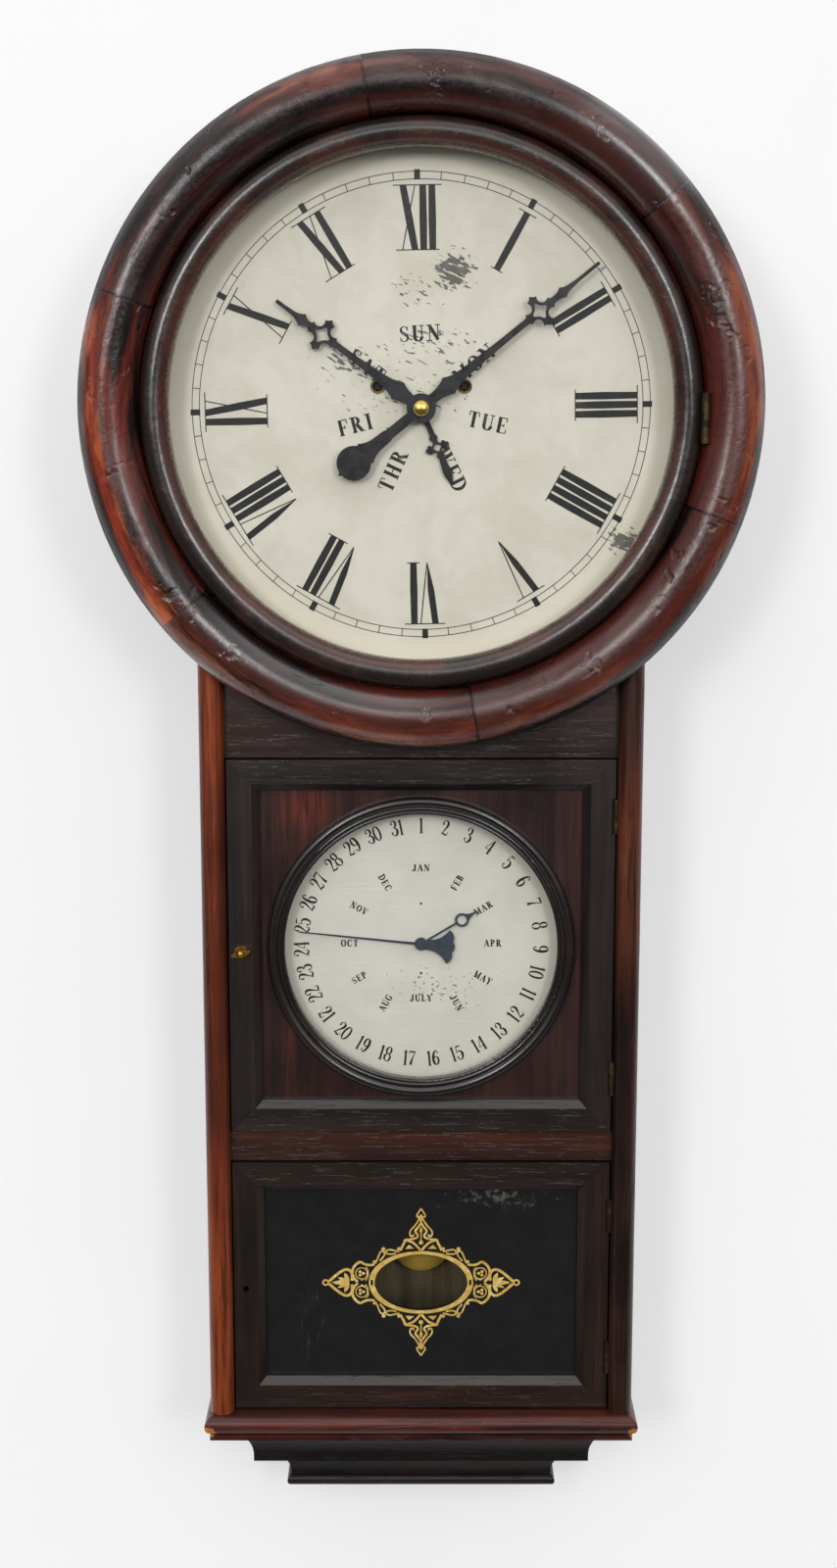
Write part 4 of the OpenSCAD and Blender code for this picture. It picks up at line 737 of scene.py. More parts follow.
def ellipse(cx: float, cy: float, rx: float, ry: float, start: float = 0.0, end: float = 360.0,
            count: int = 24) -> np.ndarray:
    """Points on an elliptic arc, at equal steps of its angle, in degrees counter-clockwise from +X."""
    a = np.radians(np.linspace(start, end, count))
    return np.stack([cx + rx * np.cos(a), cy + ry * np.sin(a)], 1)


def circle(cx: float, cy: float, radius: float, count: int = 16) -> np.ndarray:
    """Points round a circle, without its first again at the end."""
    return ellipse(cx, cy, radius, radius, 0, 360 - 360 / count, count)


@dataclass
class Inlay:
    """Flat strokes of ink or leaf laid on an upright face and gathered into one mesh.

    A stroke is a thin rectangle carried along a path; a fill is a flat outline given a thickness.
    """

    face: float
    thick: float = 0.00006
    lift: float = 0.02
    lifts: int = 40
    points: list[np.ndarray] = field(default_factory=list)
    faces: list[list[int]] = field(default_factory=list)
    count: int = 0
    laid: int = 0

    def _front(self) -> float:
        """Give the next stroke's front, a hair apart from the last so that no two faces coincide."""
        self.laid += 1
        return -self.face - self.thick * (1 + self.lift * (self.laid % self.lifts))

    def _add(self, left: np.ndarray, right: np.ndarray, closed: bool) -> None:
        """Add a slab between two edges: four corners per step, joined in quads, capped if open."""
        n = len(left)
        edge = np.stack([left, left, right, right], 1)
        front = self._front()
        depth = np.tile([-self.face, front, front, -self.face], (n, 1))
        self.points.append(np.stack([edge[..., 0], depth, edge[..., 1]], 2).reshape(-1, 3))
        step = np.arange(n if closed else n - 1)[:, None] * 4
        corner = np.arange(4)[None, :]
        after = (corner + 1) % 4
        ahead = (step + 4) % (4 * n)
        quads = np.stack([step + corner, ahead + corner, ahead + after, step + after], 2)
        self.faces += (quads.reshape(-1, 4) + self.count).tolist()
        if not closed:
            last = 4 * (n - 1) + self.count
            self.faces += [[self.count + k for k in range(4)], [last + 3 - k for k in range(4)]]
        self.count += 4 * n

    def stroke(self, path: np.ndarray, half: Union[float, np.ndarray], closed: bool = False) -> None:
        """Lay a ribbon whose edges are the path plus and minus half a width along its normal.

        Args:
            path: Points in metres, n by 2.
            half: Half the width, one number or one per point.
            closed: Whether the path joins its start.
        """
        ends = np.roll(path, -1, 0) - np.roll(path, 1, 0)
        if not closed:
            ends[0], ends[-1] = path[1] - path[0], path[-1] - path[-2]
        run = ends / np.maximum(np.linalg.norm(ends, axis=1, keepdims=True), TINY)
        side = np.stack([-run[:, 1], run[:, 0]], 1) * np.broadcast_to(half, len(path))[:, None]
        self._add(path + side, path - side, closed)

    def fill(self, outline: np.ndarray) -> None:
        """Lay a flat filled outline, given counter-clockwise as seen from the front."""
        n = len(outline)
        depth = np.repeat([-self.face, self._front()], n)
        flat = np.vstack([outline, outline])
        self.points.append(np.stack([flat[:, 0], depth, flat[:, 1]], 1))
        back, front = np.arange(n) + self.count, np.arange(n) + self.count + n
        sides = np.stack([back, np.roll(back, -1), np.roll(front, -1), front], 1)
        self.faces += sides.tolist() + [front.tolist(), back[::-1].tolist()]
        self.count += 2 * n

    def build(self, name: str, finish: Finish, body: str, slot: str) -> None:
        """Make one piece of everything that was laid and let it ride on a body.

        Args:
            name: The piece's name.
            finish: Its finish.
            body: The body that carries it.
            slot: A material slot's name; not used.
        """
        made = mesh_piece(name, np.vstack(self.points).tolist(), self.faces, finish)
        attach(made, body)
        LOG.info("%s: %d faces on %s", name, len(self.faces), body)


GLYPHS: dict[str, tuple[float, str]] = {
    "0": (0.62, "b .31 .5 .23 .48 0 360"),
    "1": (0.42, "t .22 0 .22 1;h .22 .98 .05 .84;f .22 0"),
    "2": (0.60, "s .1 .74 .05 .14 .92 .03 .3 .99 .03 .46 .88 .07 .47 .7 .08 .34 .45 .05 .08 .06 .02;"
                "s .06 .05 .02 .2 .1 .05 .36 .04 .06 .5 .06 .03 .54 .24 .02;o .12 .73 .07"),
    "3": (0.58, "s .1 .8 .04 .17 .95 .03 .3 .99 .03 .44 .87 .07 .42 .64 .06 .24 .53 .02;"
                "s .24 .53 .02 .44 .46 .05 .51 .26 .08 .42 .05 .06 .25 .01 .03 .08 .14 .03;"
                "o .12 .79 .07;o .1 .2 .07"),
    "4": (0.62, "h .42 1 .03 .28;h .03 .28 .58 .28;t .42 0 .42 .98;f .42 0"),
    "5": (0.58, "h .12 .97 .09 .52;s .12 .95 .03 .28 .93 .05 .47 .97 .02;"
                "s .09 .52 .02 .26 .62 .03 .47 .5 .07 .5 .28 .08 .4 .05 .05 .22 .01 .03 .07 .14 .03;"
                "o .1 .2 .07"),
    "6": (0.60, "s .47 .86 .02 .36 .98 .03 .2 .88 .06 .1 .55 .08 .12 .25 .08 .28 .02 .03;"
                "b .3 .29 .2 .28 0 360;o .45 .84 .06"),
    "7": (0.56, "s .05 .78 .02 .08 .95 .04 .3 .93 .06 .52 .98 .02;"
                "s .52 .97 .02 .34 .55 .04 .22 .04 .09"),
    "8": (0.60, "b .3 .75 .18 .24 0 360;b .3 .26 .22 .26 0 360"),
    "9": (0.60, "s .13 .14 .02 .24 .02 .03 .4 .12 .06 .5 .45 .08 .48 .75 .08 .32 .98 .03;"
                "b .3 .71 .2 .28 0 360;o .15 .16 .06"),
    "A": (0.78, "h .1 0 .38 .98;t .38 1 .68 0;h .2 .34 .56 .34;f .1 0;f .68 0"),
    "B": (0.68, "t .15 0 .15 1;b .22 .75 .24 .25 -90 90;b .22 .26 .3 .26 -90 90;f .1 0;f .1 1"),
    "C": (0.70, "b .37 .5 .28 .5 48 312;h .62 .62 .62 .97;h .62 .1 .62 .3"),
    "D": (0.76, "t .15 0 .15 1;b .22 .5 .42 .5 -90 90;f .1 0;f .1 1"),
    "E": (0.68, "t .16 0 .16 1;h .05 1 .6 1;h .16 .5 .44 .5;h .05 0 .62 0;h .6 .74 .6 1;"
                "h .44 .38 .44 .62;h .62 0 .62 .28"),
    "F": (0.64, "t .16 0 .16 1;h .05 1 .58 1;h .16 .5 .42 .5;h .58 .72 .58 1;h .42 .38 .42 .62;f .16 0"),
    "G": (0.76, "b .37 .5 .28 .5 48 300;t .6 .04 .6 .42;f .6 .42;h .62 .62 .62 .97"),
    "H": (0.82, "t .18 0 .18 1;t .64 0 .64 1;h .18 .5 .64 .5;f .18 0;f .18 1;f .64 0;f .64 1"),
    "I": (0.38, "t .19 0 .19 1;f .19 0;f .19 1"),
    "J": (0.54, "t .36 .22 .36 1;b .2 .22 .16 .21 180 360;f .36 1;o .09 .26 .08"),
    "L": (0.64, "t .16 0 .16 1;h .05 0 .58 0;h .58 0 .58 .32;f .16 1"),
    "M": (0.98, "h .14 0 .14 1;t .16 1 .47 .04;h .47 .02 .8 1;t .82 0 .82 1;"
                "f .14 0;f .12 1;f .82 0;f .84 1"),
    "N": (0.82, "h .14 0 .14 1;t .14 1 .66 .02;h .67 0 .67 1;f .14 0;f .1 1;f .67 1"),
    "O": (0.76, "b .38 .5 .29 .49 0 360"),
    "P": (0.66, "t .16 0 .16 1;b .22 .73 .3 .27 -90 90;f .16 0;f .1 1"),
    "R": (0.76, "t .16 0 .16 1;b .22 .75 .28 .25 -90 90;t .36 .48 .62 .02;f .16 0;f .1 1;f .66 0"),
    "S": (0.60, "s .5 .78 .02 .38 .97 .03 .24 .98 .03 .1 .84 .07 .14 .64 .09 .32 .5 .1 .48 .36 .09"
                " .5 .16 .07 .36 .02 .03 .2 .03 .03 .07 .22 .02;h .5 .72 .5 .98;h .07 .02 .07 .28"),
    "T": (0.70, "t .35 0 .35 1;h .05 1 .65 1;h .05 .72 .05 1;h .65 .72 .65 1;f .35 0"),
    "U": (0.76, "t .16 .28 .16 1;b .38 .28 .22 .28 180 360;h .61 .28 .61 1;f .16 1;f .61 1"),
    "V": (0.72, "t .12 1 .37 .02;h .37 0 .62 1;f .12 1;f .62 1"),
    "W": (1.02, "t .1 1 .32 .02;h .32 0 .54 1;t .5 1 .7 .02;h .7 0 .92 1;f .1 1;f .5 1;f .92 1"),
    "Y": (0.72, "t .1 1 .36 .46;h .36 .46 .6 1;t .36 0 .36 .48;f .1 1;f .6 1;f .36 0"),
}


@dataclass
class Lettering:
    """A bold engraved hand: upright strokes are thick, level ones are hairlines.

    Each glyph is a list of strokes in a unit of its height. The letter t is a thick line, h a hairline,
    f a foot serif, b a bowl whose width follows the sine of its slope, s a spline with its own half
    widths and o a ball.
    """

    inlay: Inlay
    thick: float = 0.098
    hair: float = 0.030
    foot: float = 0.15
    wide: float = 1.0
    track: float = 0.2
    swell: float = 1.6

    def strokes(self, glyph: str) -> Iterable[tuple[np.ndarray, Union[float, np.ndarray], bool]]:
        """Yield each stroke of a glyph as a path, its half widths and whether it is filled."""
        for text in GLYPHS[glyph][1].split(";"):
            kind, *rest = text.split()
            v = [float(n) for n in rest]
            if kind in "th":
                yield np.array(v).reshape(2, 2), self.thick if kind == "t" else self.hair, False
            elif kind == "f":
                yield np.array([[v[0] - self.foot, v[1]], [v[0] + self.foot, v[1]]]), self.hair, False
            elif kind == "b":
                path = ellipse(*v)
                slope = np.gradient(path, axis=0)
                rise = np.abs(slope[:, 1]) / np.maximum(np.linalg.norm(slope, axis=1), TINY)
                yield path, self.hair + (self.thick - self.hair) * rise ** self.swell, False
            elif kind == "s":
                path = spline(np.array(v).reshape(-1, 3))
                yield path[:, :2], path[:, 2], False
            else:
                yield circle(*v), 0.0, True

    def word(self, text: str, height: float, centre: tuple[float, float], angle: float) -> None:
        """Lay a word so that its middle is at a point.

        Args:
            text: The word or number.
            height: Height of its capitals, in metres.
            centre: Its middle, X and Z.
            angle: Counter-clockwise turn in degrees.
        """
        pen = -sum(GLYPHS[c][0] + self.track for c in text) / 2 + self.track / 2
        for glyph in text:
            for path, half, filled in self.strokes(glyph):
                spot = turn_by((path + [pen, -0.5]) * [self.wide * height, height], angle) + centre
                if filled:
                    self.inlay.fill(spot)
                else:
                    self.inlay.stroke(spot, np.asarray(half) * height)
            pen += GLYPHS[glyph][0] + self.track


def around(radius: float, bearing: float, centre_z: float) -> tuple[float, float]:
    """Give the point at a bearing, in degrees clockwise from the top, on a circle."""
    a = math.radians(bearing)
    return radius * math.sin(a), centre_z + radius * math.cos(a)


def along_radius(bearing: float) -> float:
    """Give the turn that lays a word along a radius and keeps it readable from the front."""
    return (90 if bearing <= 180 else 270) - bearing


def dress(finishes: Mapping[str, Finish]) -> None:
    """Give carried nodes their finishes.

    Args:
        finishes: Finish by node name.
    """
    for node, finish in finishes.items():
        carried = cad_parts[node]
        if not carried.material_slots:
            carried.data.materials.append(finish.material())
        for place in carried.material_slots:
            place.material = finish.material()
        LOG.info("%s wears %s", node, finish.name)


BRASS = Metal("polished_brass")
AGED_BRASS = Metal("aged_brass", "#4f3d22", "#231a10", (0.3, 0.56), 0.5, 0.7)
BLUED_STEEL = Metal("blued_steel", "#29292d", "#1a1a1d", (0.4, 0.62), 0.38, 0.6)
PALE_BLUE = Metal("pale_blued_steel", "#434d59", "#343b45", (0.45, 0.7), 0.42, 0.5)
IRON = Metal("hanger_iron", "#6e6b67", "#3d342d", (0.4, 0.6), 0.5)
CARCASS = Timber("carcass_pine", "#4a2f1b", "#7a5433", "#a07a4c", streak=220.0, stretch=18.0, pores=0.3,
                 gloss=0.62, coat=0.0)
CLEAR_GLASS = ClearGlass("clear_glass")


@dataclass
class Case:
    """The carcass, its mouldings and the hanger."""

    chip_inset: float = 0.002
    chip_z: float = -0.8135
    chip_reach: float = 0.009
    chip_depth: float = 1.5

    def build(self) -> None:
        """Dress the carcass, the head, the pilasters and the base."""
        low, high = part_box("base_half_round")
        corners = (low[0] + self.chip_inset, high[0] - self.chip_inset)
        chips = tuple((x, low[1] + self.chip_inset, self.chip_z, self.chip_reach, self.chip_depth)
                      for x in corners)
        ebony = Timber("ebonised_cove", "#110d0c", "#1d1513", "#30211c", GrainRun.ACROSS, glow=0.4,
                       gloss=0.42, coat=0.05, specular=0.25)
        halved = {"streak": 330.0, "stretch": 26.0, "craze": 0.5, "specular": 0.35}
        dress({
            "backboard": Timber("backboard_pine", "#564e44", "#7d756a", "#9c948a", glow=0.3, pores=0.3,
                                gloss=0.7, coat=0.0),
            "head_drum": Timber("drum_stain", "#20110c", "#3a2015", "#5a3420", GrainRun.DEEP, glow=0.4,
                                gloss=0.5, coat=0.0, specular=0.3),
            "dial_board": CARCASS, "bottom_board": CARCASS, "calendar_board": CARCASS,
            "head_ring": RingVarnish("ring_varnish"),
            "side_panel_left": Timber("side_veneer_left", "#240d09", "#5a2012", "#8d3f1b", glow=0.7),
            "side_panel_right": Timber("side_veneer_right", "#1c0c09", "#431810", "#6d2f17", glow=0.6),
            "pilaster_left": Timber("pilaster_left_veneer", "#2c110b", "#5a2311", "#a34c22", glow=0.7,
                                    shade=(0.34, 0.58), coat=0.05, warmth=0.55, **halved,
                                    warm=((-0.131, -0.33, 0.06), (-0.131, -0.74, 0.15))),
            "pilaster_right": Timber("pilaster_right_veneer", "#150b09", "#2f1710", "#63301a", glow=0.6,
                                     coat=0.0, **halved, warm=((0.131, -0.430, 0.10),)),
            "top_rail": Timber("top_rail_veneer", "#1b100d", "#2f1a15", "#4b2619", GrainRun.ACROSS),
            "mid_rail": Timber("mid_rail_veneer", "#1e100c", "#38190f", "#5e301c", GrainRun.ACROSS,
                               glow=0.7),
            "base_half_round": Timber("base_half_round_veneer", "#1b0b09", "#451a13", "#6f2b1c",
                                      GrainRun.ACROSS, glow=0.6, coat=0.06, specular=0.3, craze=0.6,
                                      bare=chips),
            "base_upper_cove": ebony, "base_lower_cove": ebony,
            "hanger_plate": IRON, "case_hinge_leaves": AGED_BRASS, "hinge_pins": AGED_BRASS,
        })


@dataclass
class DialBezel:
    """The hinged dial bezel and its glass."""

    worn_rim: float = 0.161

    def build(self) -> None:
        """Dress the bezel, the glass and the hinge leaf."""
        dress({"dial_bezel": TurnedEbony("bezel_ebony", worn_rim=self.worn_rim),
               "dial_glass": CLEAR_GLASS, "bezel_hinge_leaf": AGED_BRASS})


@dataclass
class Dial:
    """The painted dial: minute track, hour numerals, days of the week, and the hands over it.

    A numeral's letter is its advance and its limbs, in half widths of a thick limb: each limb's offset
    at its top and at its foot, whether it is thick, and the share of its width left at the foot.
    """

    face: float = 0.085
    minutes: int = 60
    track: tuple[float, float] = (0.1360, 0.1405)
    line: float = 0.00025
    block: tuple[float, float, float] = (0.1356, 0.1416, 0.0018)
    feet: float = 0.0945
    tops: float = 0.1325
    stroke: float = 0.0020
    hair: float = 0.00033
    limb_gap: float = 0.75
    waist: float = 0.55
    waist_power: float = 0.2
    serif_reach: float = 0.0040
    day_radius: float = 0.0418
    first_day_radius: float = 0.0450
    first_day_angle: float = 3.0
    day_height: float = 0.0091
    numerals: tuple[str, ...] = ("XII", "I", "II", "III", "IIII", "V", "VI", "VII", "VIII", "IX", "X",
                                 "XI")
    letters: ClassVar[Mapping[str, tuple[float, Spots]]] = {
        "I": (2.75, ((1.0, 1.0, True, 1.0),)),
        "V": (6.6, ((1.0, 3.3, True, 0.08), (5.6, 3.4, False, 0.9))),
        "X": (6.0, ((1.0, 4.4, True, 1.0), (4.6, 0.6, False, 1.0))),
    }
    lean: float = -1.05
    days: tuple[str, ...] = ("SUN", "MON", "TUE", "WED", "THR", "FRI", "SAT")

    def minute_track(self, ink: Finish) -> None:
        """Print two circles, a tick for each minute and a block for each hour."""
        inlay = Inlay(self.face)
        for radius in self.track:
            inlay.stroke(circle(0, DIAL_Z, radius, 288), self.line, closed=True)
        for minute in range(self.minutes):
            on_hour = minute % (self.minutes // len(self.numerals)) == 0
            low, high, half = self.block if on_hour else (*self.track, self.line)
            bearing = 360 * minute / self.minutes + self.lean
            inlay.stroke(np.array([around(r, bearing, DIAL_Z) for r in (low, high)]), half)
        inlay.build("dial_minute_track", ink, "case", "dial_paint")

    def limbs(self, numeral: str) -> tuple[list[tuple[float, float, float, float]], float]:
        """Lay out a numeral's limbs side by side.

        Args:
            numeral: Roman letters.

        Returns:
            Each limb's offset at its top, offset at its foot, half width and share of it left at the
            foot, and the whole width.
        """
        pen, limbs = 0.0, []
        for letter in numeral:
            advance, parts = self.letters[letter]
            for top, foot, thick, left in parts:
                half = self.stroke if thick else self.hair
                limbs.append((pen + top * self.stroke, pen + foot * self.stroke, half, left))
            pen += advance * self.stroke
        return limbs, pen - self.limb_gap * self.stroke

    def hour_numerals(self, ink: Finish) -> None:
        """Print each numeral along its radius, feet to the centre, with serifs where limbs end blunt."""
        inlay = Inlay(self.face)
        share = np.array([0.0, self.waist, 1.0])
        for hour, numeral in enumerate(self.numerals):
            limbs, width = self.limbs(numeral)
            turn = -360 * hour / len(self.numerals) - self.lean
            for top, foot, half, left in limbs:
                across = top + (foot - top) * share - width / 2
                path = np.stack([across, self.tops + (self.feet - self.tops) * share], 1)
                taper = np.array([1.0, (1 + left) ** self.waist_power, left])
                inlay.stroke(turn_by(path, turn) + [0, DIAL_Z], half * taper)
            blunt = [foot - width / 2 for _, foot, _, left in limbs if left == 1.0]
            serifs = [(-width / 2, width / 2, self.tops)]
            serifs += [(min(blunt), max(blunt), self.feet)] if blunt else []
            for start, end, level in serifs:
                line = np.array([(start - self.serif_reach, level), (end + self.serif_reach, level)])
                inlay.stroke(turn_by(line, turn) + [0, DIAL_Z], self.hair)
        inlay.build("dial_hour_numerals", ink, "case", "dial_paint")

    def day_names(self, ink: Finish) -> None:
        """Print the days along their radii; the first lies nearly level."""
        letters = Lettering(Inlay(self.face), 0.112, 0.036, wide=1.06)
        for number, day in enumerate(self.days):
            bearing = 360 * number / len(self.days) + self.lean
            angle = along_radius(bearing) if number else self.first_day_angle
            radius = self.day_radius if number else self.first_day_radius
            letters.word(day, self.day_height, around(radius, bearing, DIAL_Z), angle)
        letters.inlay.build("dial_day_names", ink, "case", "dial_paint")

    def build(self) -> None:
        """Print the dial and dress the plate and hands."""
        ink = Ink("dial_ink")
        self.minute_track(ink)
        self.hour_numerals(ink)
        self.day_names(Ink("day_name_ink", faded="#8a877d", loss=0.9))
        dress({
            "dial_plate": DialPaint("dial_paint"), "dial_screws": BRASS,
            "winding_grommets": Metal("grommet_brass", "#6b5a33", "#3a2e1a", (0.4, 0.66), 0.36),
            "minute_hand": BLUED_STEEL, "hour_hand": BLUED_STEEL, "day_hand": BLUED_STEEL,
            "hand_nut": Metal("nut_brass", "#d2b35e", "#9a7a35", (0.55, 0.75), 0.24),
        })


@dataclass
class Calendar:
    """The silvered calendar dial: dates round its edge, months within, and two hands."""

    face: float = 0.076
    date_radius: float = 0.0774
    date_height: float = 0.0098
    month_radius: float = 0.0462
    level_radius: tuple[float, float] = (0.0497, 0.0367)
    month_height: float = 0.0043
    dots: tuple[float, ...] = (0.0262, -0.0200)
    dot_radius: float = 0.0008
    days: int = 31
    flipped: tuple[int, int] = (12, 21)
    months: tuple[str, ...] = ("JAN", "FEB", "MAR", "APR", "MAY", "JUN", "JULY", "AUG", "SEP", "OCT",
                               "NOV", "DEC")

    def dates(self, ink: Finish) -> None:
        """Print the dates with their tops outward, but upright along the bottom."""
        letters = Lettering(Inlay(self.face), 0.066, 0.024, 0.14, 0.84, 0.02)
        for day in range(1, self.days + 1):
            bearing = 360 * (day - 1) / self.days
            upright = self.flipped[0] <= day <= self.flipped[1]
            spot = around(self.date_radius, bearing, CALENDAR_Z)
            letters.word(str(day), self.date_height, spot, (180 if upright else 0) - bearing)
        letters.inlay.build("calendar_dates", ink, "case", "silvered")

    def month_names(self, ink: Finish) -> None:
        """Print the months along their radii, the first and seventh level, and the two dots."""
        letters = Lettering(Inlay(self.face), 0.118, 0.042)
        half_year = len(self.months) // 2
        for number, month in enumerate(self.months):
            bearing = 360 * number / len(self.months)
            level = number % half_year == 0
            radius = self.level_radius[number // half_year] if level else self.month_radius
            angle = 0.0 if level else along_radius(bearing)
            letters.word(month, self.month_height, around(radius, bearing, CALENDAR_Z), angle)
        for rise in self.dots:
            letters.inlay.fill(circle(0, CALENDAR_Z + rise, self.dot_radius))
        letters.inlay.build("calendar_month_names", ink, "case", "silvered")

    def build(self) -> None:
        """Print the calendar and dress its plate and hands."""
        ink = Ink("calendar_ink", "#1a1a1c", "#3d3b37", 0.4)
        self.dates(ink)
        self.month_names(ink)
        dress({"calendar_dial": Silvering("silvered_plate"), "date_hand": PALE_BLUE,
               "month_hand": PALE_BLUE, "date_wheel": BRASS, "month_wheel": BRASS})


@dataclass
class CalendarDoor:
    """The upper door that frames the calendar."""

    panel: tuple[float, float, float] = (0.1225, -0.489, 0.122)

    def build(self) -> None:
        """Dress the frame, the panel, the reeded ring, the glass and the latch."""
        dress({
            "upper_door_frame": Timber("upper_frame_ebony", "#15110f", "#231915", "#38251c",
                                       GrainRun.MITRED, panel=self.panel),
            "upper_door_panel": Timber("panel_rosewood", "#1c100e", "#331a16", "#6a2c1f", streak=210.0,
                                       stretch=16.0, glow=0.35, warm=((-0.075, -0.400, 0.024),)),
            "calendar_bezel": TurnedEbony("calendar_ebony", CALENDAR_Z, "#15110f", wear=0.15, gloss=0.26,
                                          grit=0.1),
            "calendar_glass": CLEAR_GLASS, "upper_door_hinge_leaves": AGED_BRASS,
            "door_latch": Metal("latch_brass", "#a87f34", "#5b3f17", (0.42, 0.66), 0.32),
        })


@dataclass
class TabletDoor:
    """The lower door with its black glass and gilt ornament round an oval window.

    The marks are Gilt's, in millimetres from the oval's centre. An arc is its start and sweep in degrees
    and its number of points; the slit is its inner and outer half width and half its lines' width.
    """

    face: float = 0.086
    leaf_thick: float = 0.00008
    panel: tuple[float, float, float] = (0.1225, -0.717, 0.085)
    oval: tuple[float, float] = (32.5, 20.7)
    rim: tuple[float, float] = (1.1, 0.8)
    rim_arc: tuple[int, int, int] = (5, 170, 60)
    slit: tuple[float, float, float] = (31.15, 33.85, 0.55)
    slit_arc: tuple[int, int, int] = (-6, 12, 6)
    finial: tuple[str, ...] = (
        "c .51 0 51.4 1.5 49 2.7 46.9 2.2 45.5 1 45.9",
        "l .646 0 47.2 0 41.8",
        "c .52 .5 46.4 1.6 43.4 4 39.6 6.6 36.6 7.4 34.2 6.6 32.3 5.2 32.3 5 33.6",
        "c .72 0 41.4 1.8 38.6 3.6 36.2 3.3 34.6 2.2 33.2 2.5 31.6 4.4 30.6 7.4 30 10.4 29.8",
        "c .8 10.4 30 11.2 27.4 12.4 25 13.6 22.4",
        "c .76 .3 22.4 2.8 25.4 5.6 27.9 10.2 29.7",
        "p 4.6 23.7 10.4 23.4 8 26.4",
        "p 0 33.6 1.2 36.2 0 39",
        "l .34 0 34.4 0 28.6",
        "o 0 27.9 1.5",
    )
    shoulders: tuple[str, ...] = (
        "o 14.6 23.5 1.2", "o 24.7 23.4 1.3", "o 30.8 14.5 1.05",
        "c .52 14.4 21.5 17.6 22.3 20.6 22.9 22.9 22 22.4 20.2 19.4 19.8 16.4 20.4",
        "c .52 27.2 15 25.2 17.4 24 19.4 24.2 21.3 25.9 21.8 27.3 20.2 28.6 16.8 30.2 13.2",
    )
    sides: tuple[str, ...] = (
        "c .8 30.6 12.7 33.8 12.2 37.2 12.9 40 14.6",
        "c .84 40 14.7 42.8 12.7 44.9 9.6 45.3 6.2 44.2 3.2 41.8 .3",
        "r .34 39.2 6.4 3.9",
        "o 38 6.4 1.05", "o 40.2 7.6 1.05", "o 40.2 5.2 1.05", "o 35.5 6.4 .6",
        "c .34 36.6 1.2 35.3 3.6 34.9 6.4 35 8.8 36.4 10.8",
        "c .34 36.2 2.4 37.6 2.6 39.6 1.4",
        "c .92 45.6 1.4 45.4 5 46.6 8 49.2 9.1 52.4 7.9 56.6 4.6 60.6 .9",
        "v 1.5 47.6 0 58.6 0", "v 1.3 47.6 0 54.6 3.5", "v 1.4 47.6 0 50.4 6.7",
        "r .6 62.9 0 1.75",
    )

    def gild_rim(self, gilt: "Gilt") -> None:
        """Lay the oval's rim, thickest at its sides, where it parts round a narrow slit."""
        wide, high = self.oval
        inner, outer, half = self.slit
        start, sweep, count = self.rim_arc
        across = np.cos(np.radians(np.linspace(start, start + sweep, count)))
        for turn in (0, 180):
            begin = start + turn
            gilt.lay(ellipse(0, 0, wide, high, begin, begin + sweep, count),
                     self.rim[0] + self.rim[1] * across ** 2)
        start, sweep, count = self.slit_arc
        for begin in (start, start + 180):
            for reach in (inner, outer):
                gilt.lay(ellipse(0, 0, reach, high, begin, begin + sweep, count), half)

    def build(self) -> None:
        """Gild the tablet and dress the door."""
        gilt = Gilt(Inlay(self.face, self.leaf_thick))
        self.gild_rim(gilt)
        for mark in self.finial + self.shoulders + self.sides:
            gilt.draw(mark)
        gilt.inlay.build("tablet_gilding", Gilding("gold_leaf"), "lower_door", "brass")
        frame_wood = Timber("lower_frame_rosewood", "#130e0b", "#23150f", "#44261a", GrainRun.MITRED,
                            glow=0.6, coat=0.1, panel=self.panel)
        dress({"lower_door_frame": frame_wood, "tablet_glass": TabletGlass("black_tablet"),
               "tablet_beads": CARCASS, "lower_door_hinge_leaves": AGED_BRASS})


@dataclass
class Gilt:
    """Draws ornament in millimetres from the oval's centre, mirrored in both axes.

    A mark is a letter and its numbers. The letter c is a smooth line and l a straight one, each with
    its half width and knots; v is a leaf, with its half width, root and tip; r is a ring, with its
    half width, centre and radius; o is a round spot, with its centre and radius; p is a filled
    outline, with its corners.
    """

    inlay: Inlay
    mirrors: tuple[tuple[int, int], ...] = ((1, 1), (-1, 1), (1, -1), (-1, -1))
    blunt: float = 0.04
    fullness: float = 0.8

    def flips(self, points: np.ndarray) -> list[np.ndarray]:
        """Give the mirrors that differ: a mark on an axis isn't drawn over itself."""
        still = [i for i in (0, 1) if not np.any(np.abs(points[:, i]) > TINY)]
        return [np.array(f) for f in self.mirrors if all(f[i] > 0 for i in still)]

    def lay(self, path: np.ndarray, half: Union[float, np.ndarray], closed: bool = False) -> None:
        """Lay one ribbon, given in millimetres."""
        self.inlay.stroke(path * MM + [0, TABLET_Z], np.asarray(half) * MM, closed)

    def fill(self, outline: np.ndarray) -> None:
        """Fill one outline, given in millimetres."""
        self.inlay.fill(outline * MM + [0, TABLET_Z])

    def draw(self, mark: str) -> None:
        """Lay one mark in each quarter; a leaf's half width is the sine of its length's share.

        Args:
            mark: The mark's letter and numbers.
        """
        kind, *rest = mark.split()
        v = np.array([float(n) for n in rest])
        if kind == "o":
            for flip in self.flips(v[None, :2]):
                self.fill(circle(*(flip * v[:2]), v[2]))
        elif kind == "r":
            for flip in self.flips(v[None, 1:3]):
                self.lay(circle(*(flip * v[1:3]), v[3], 24), v[0], closed=True)
        elif kind == "p":
            outline = v.reshape(-1, 2)
            for flip in self.flips(outline):
                self.fill((outline * flip)[::int(flip.prod())])
        else:
            path, half = v[1:].reshape(-1, 2), v[0]
            if kind == "c":
                path = spline(path)
            elif kind == "v":
                share = np.linspace(0, 1, 9)
                path = path[0] + share[:, None] * (path[1] - path[0])
                half = half * np.sin(np.pi * np.clip(share, self.blunt, 1 - self.blunt)) ** self.fullness
            for flip in self.flips(path):
                self.lay(path * flip, half)


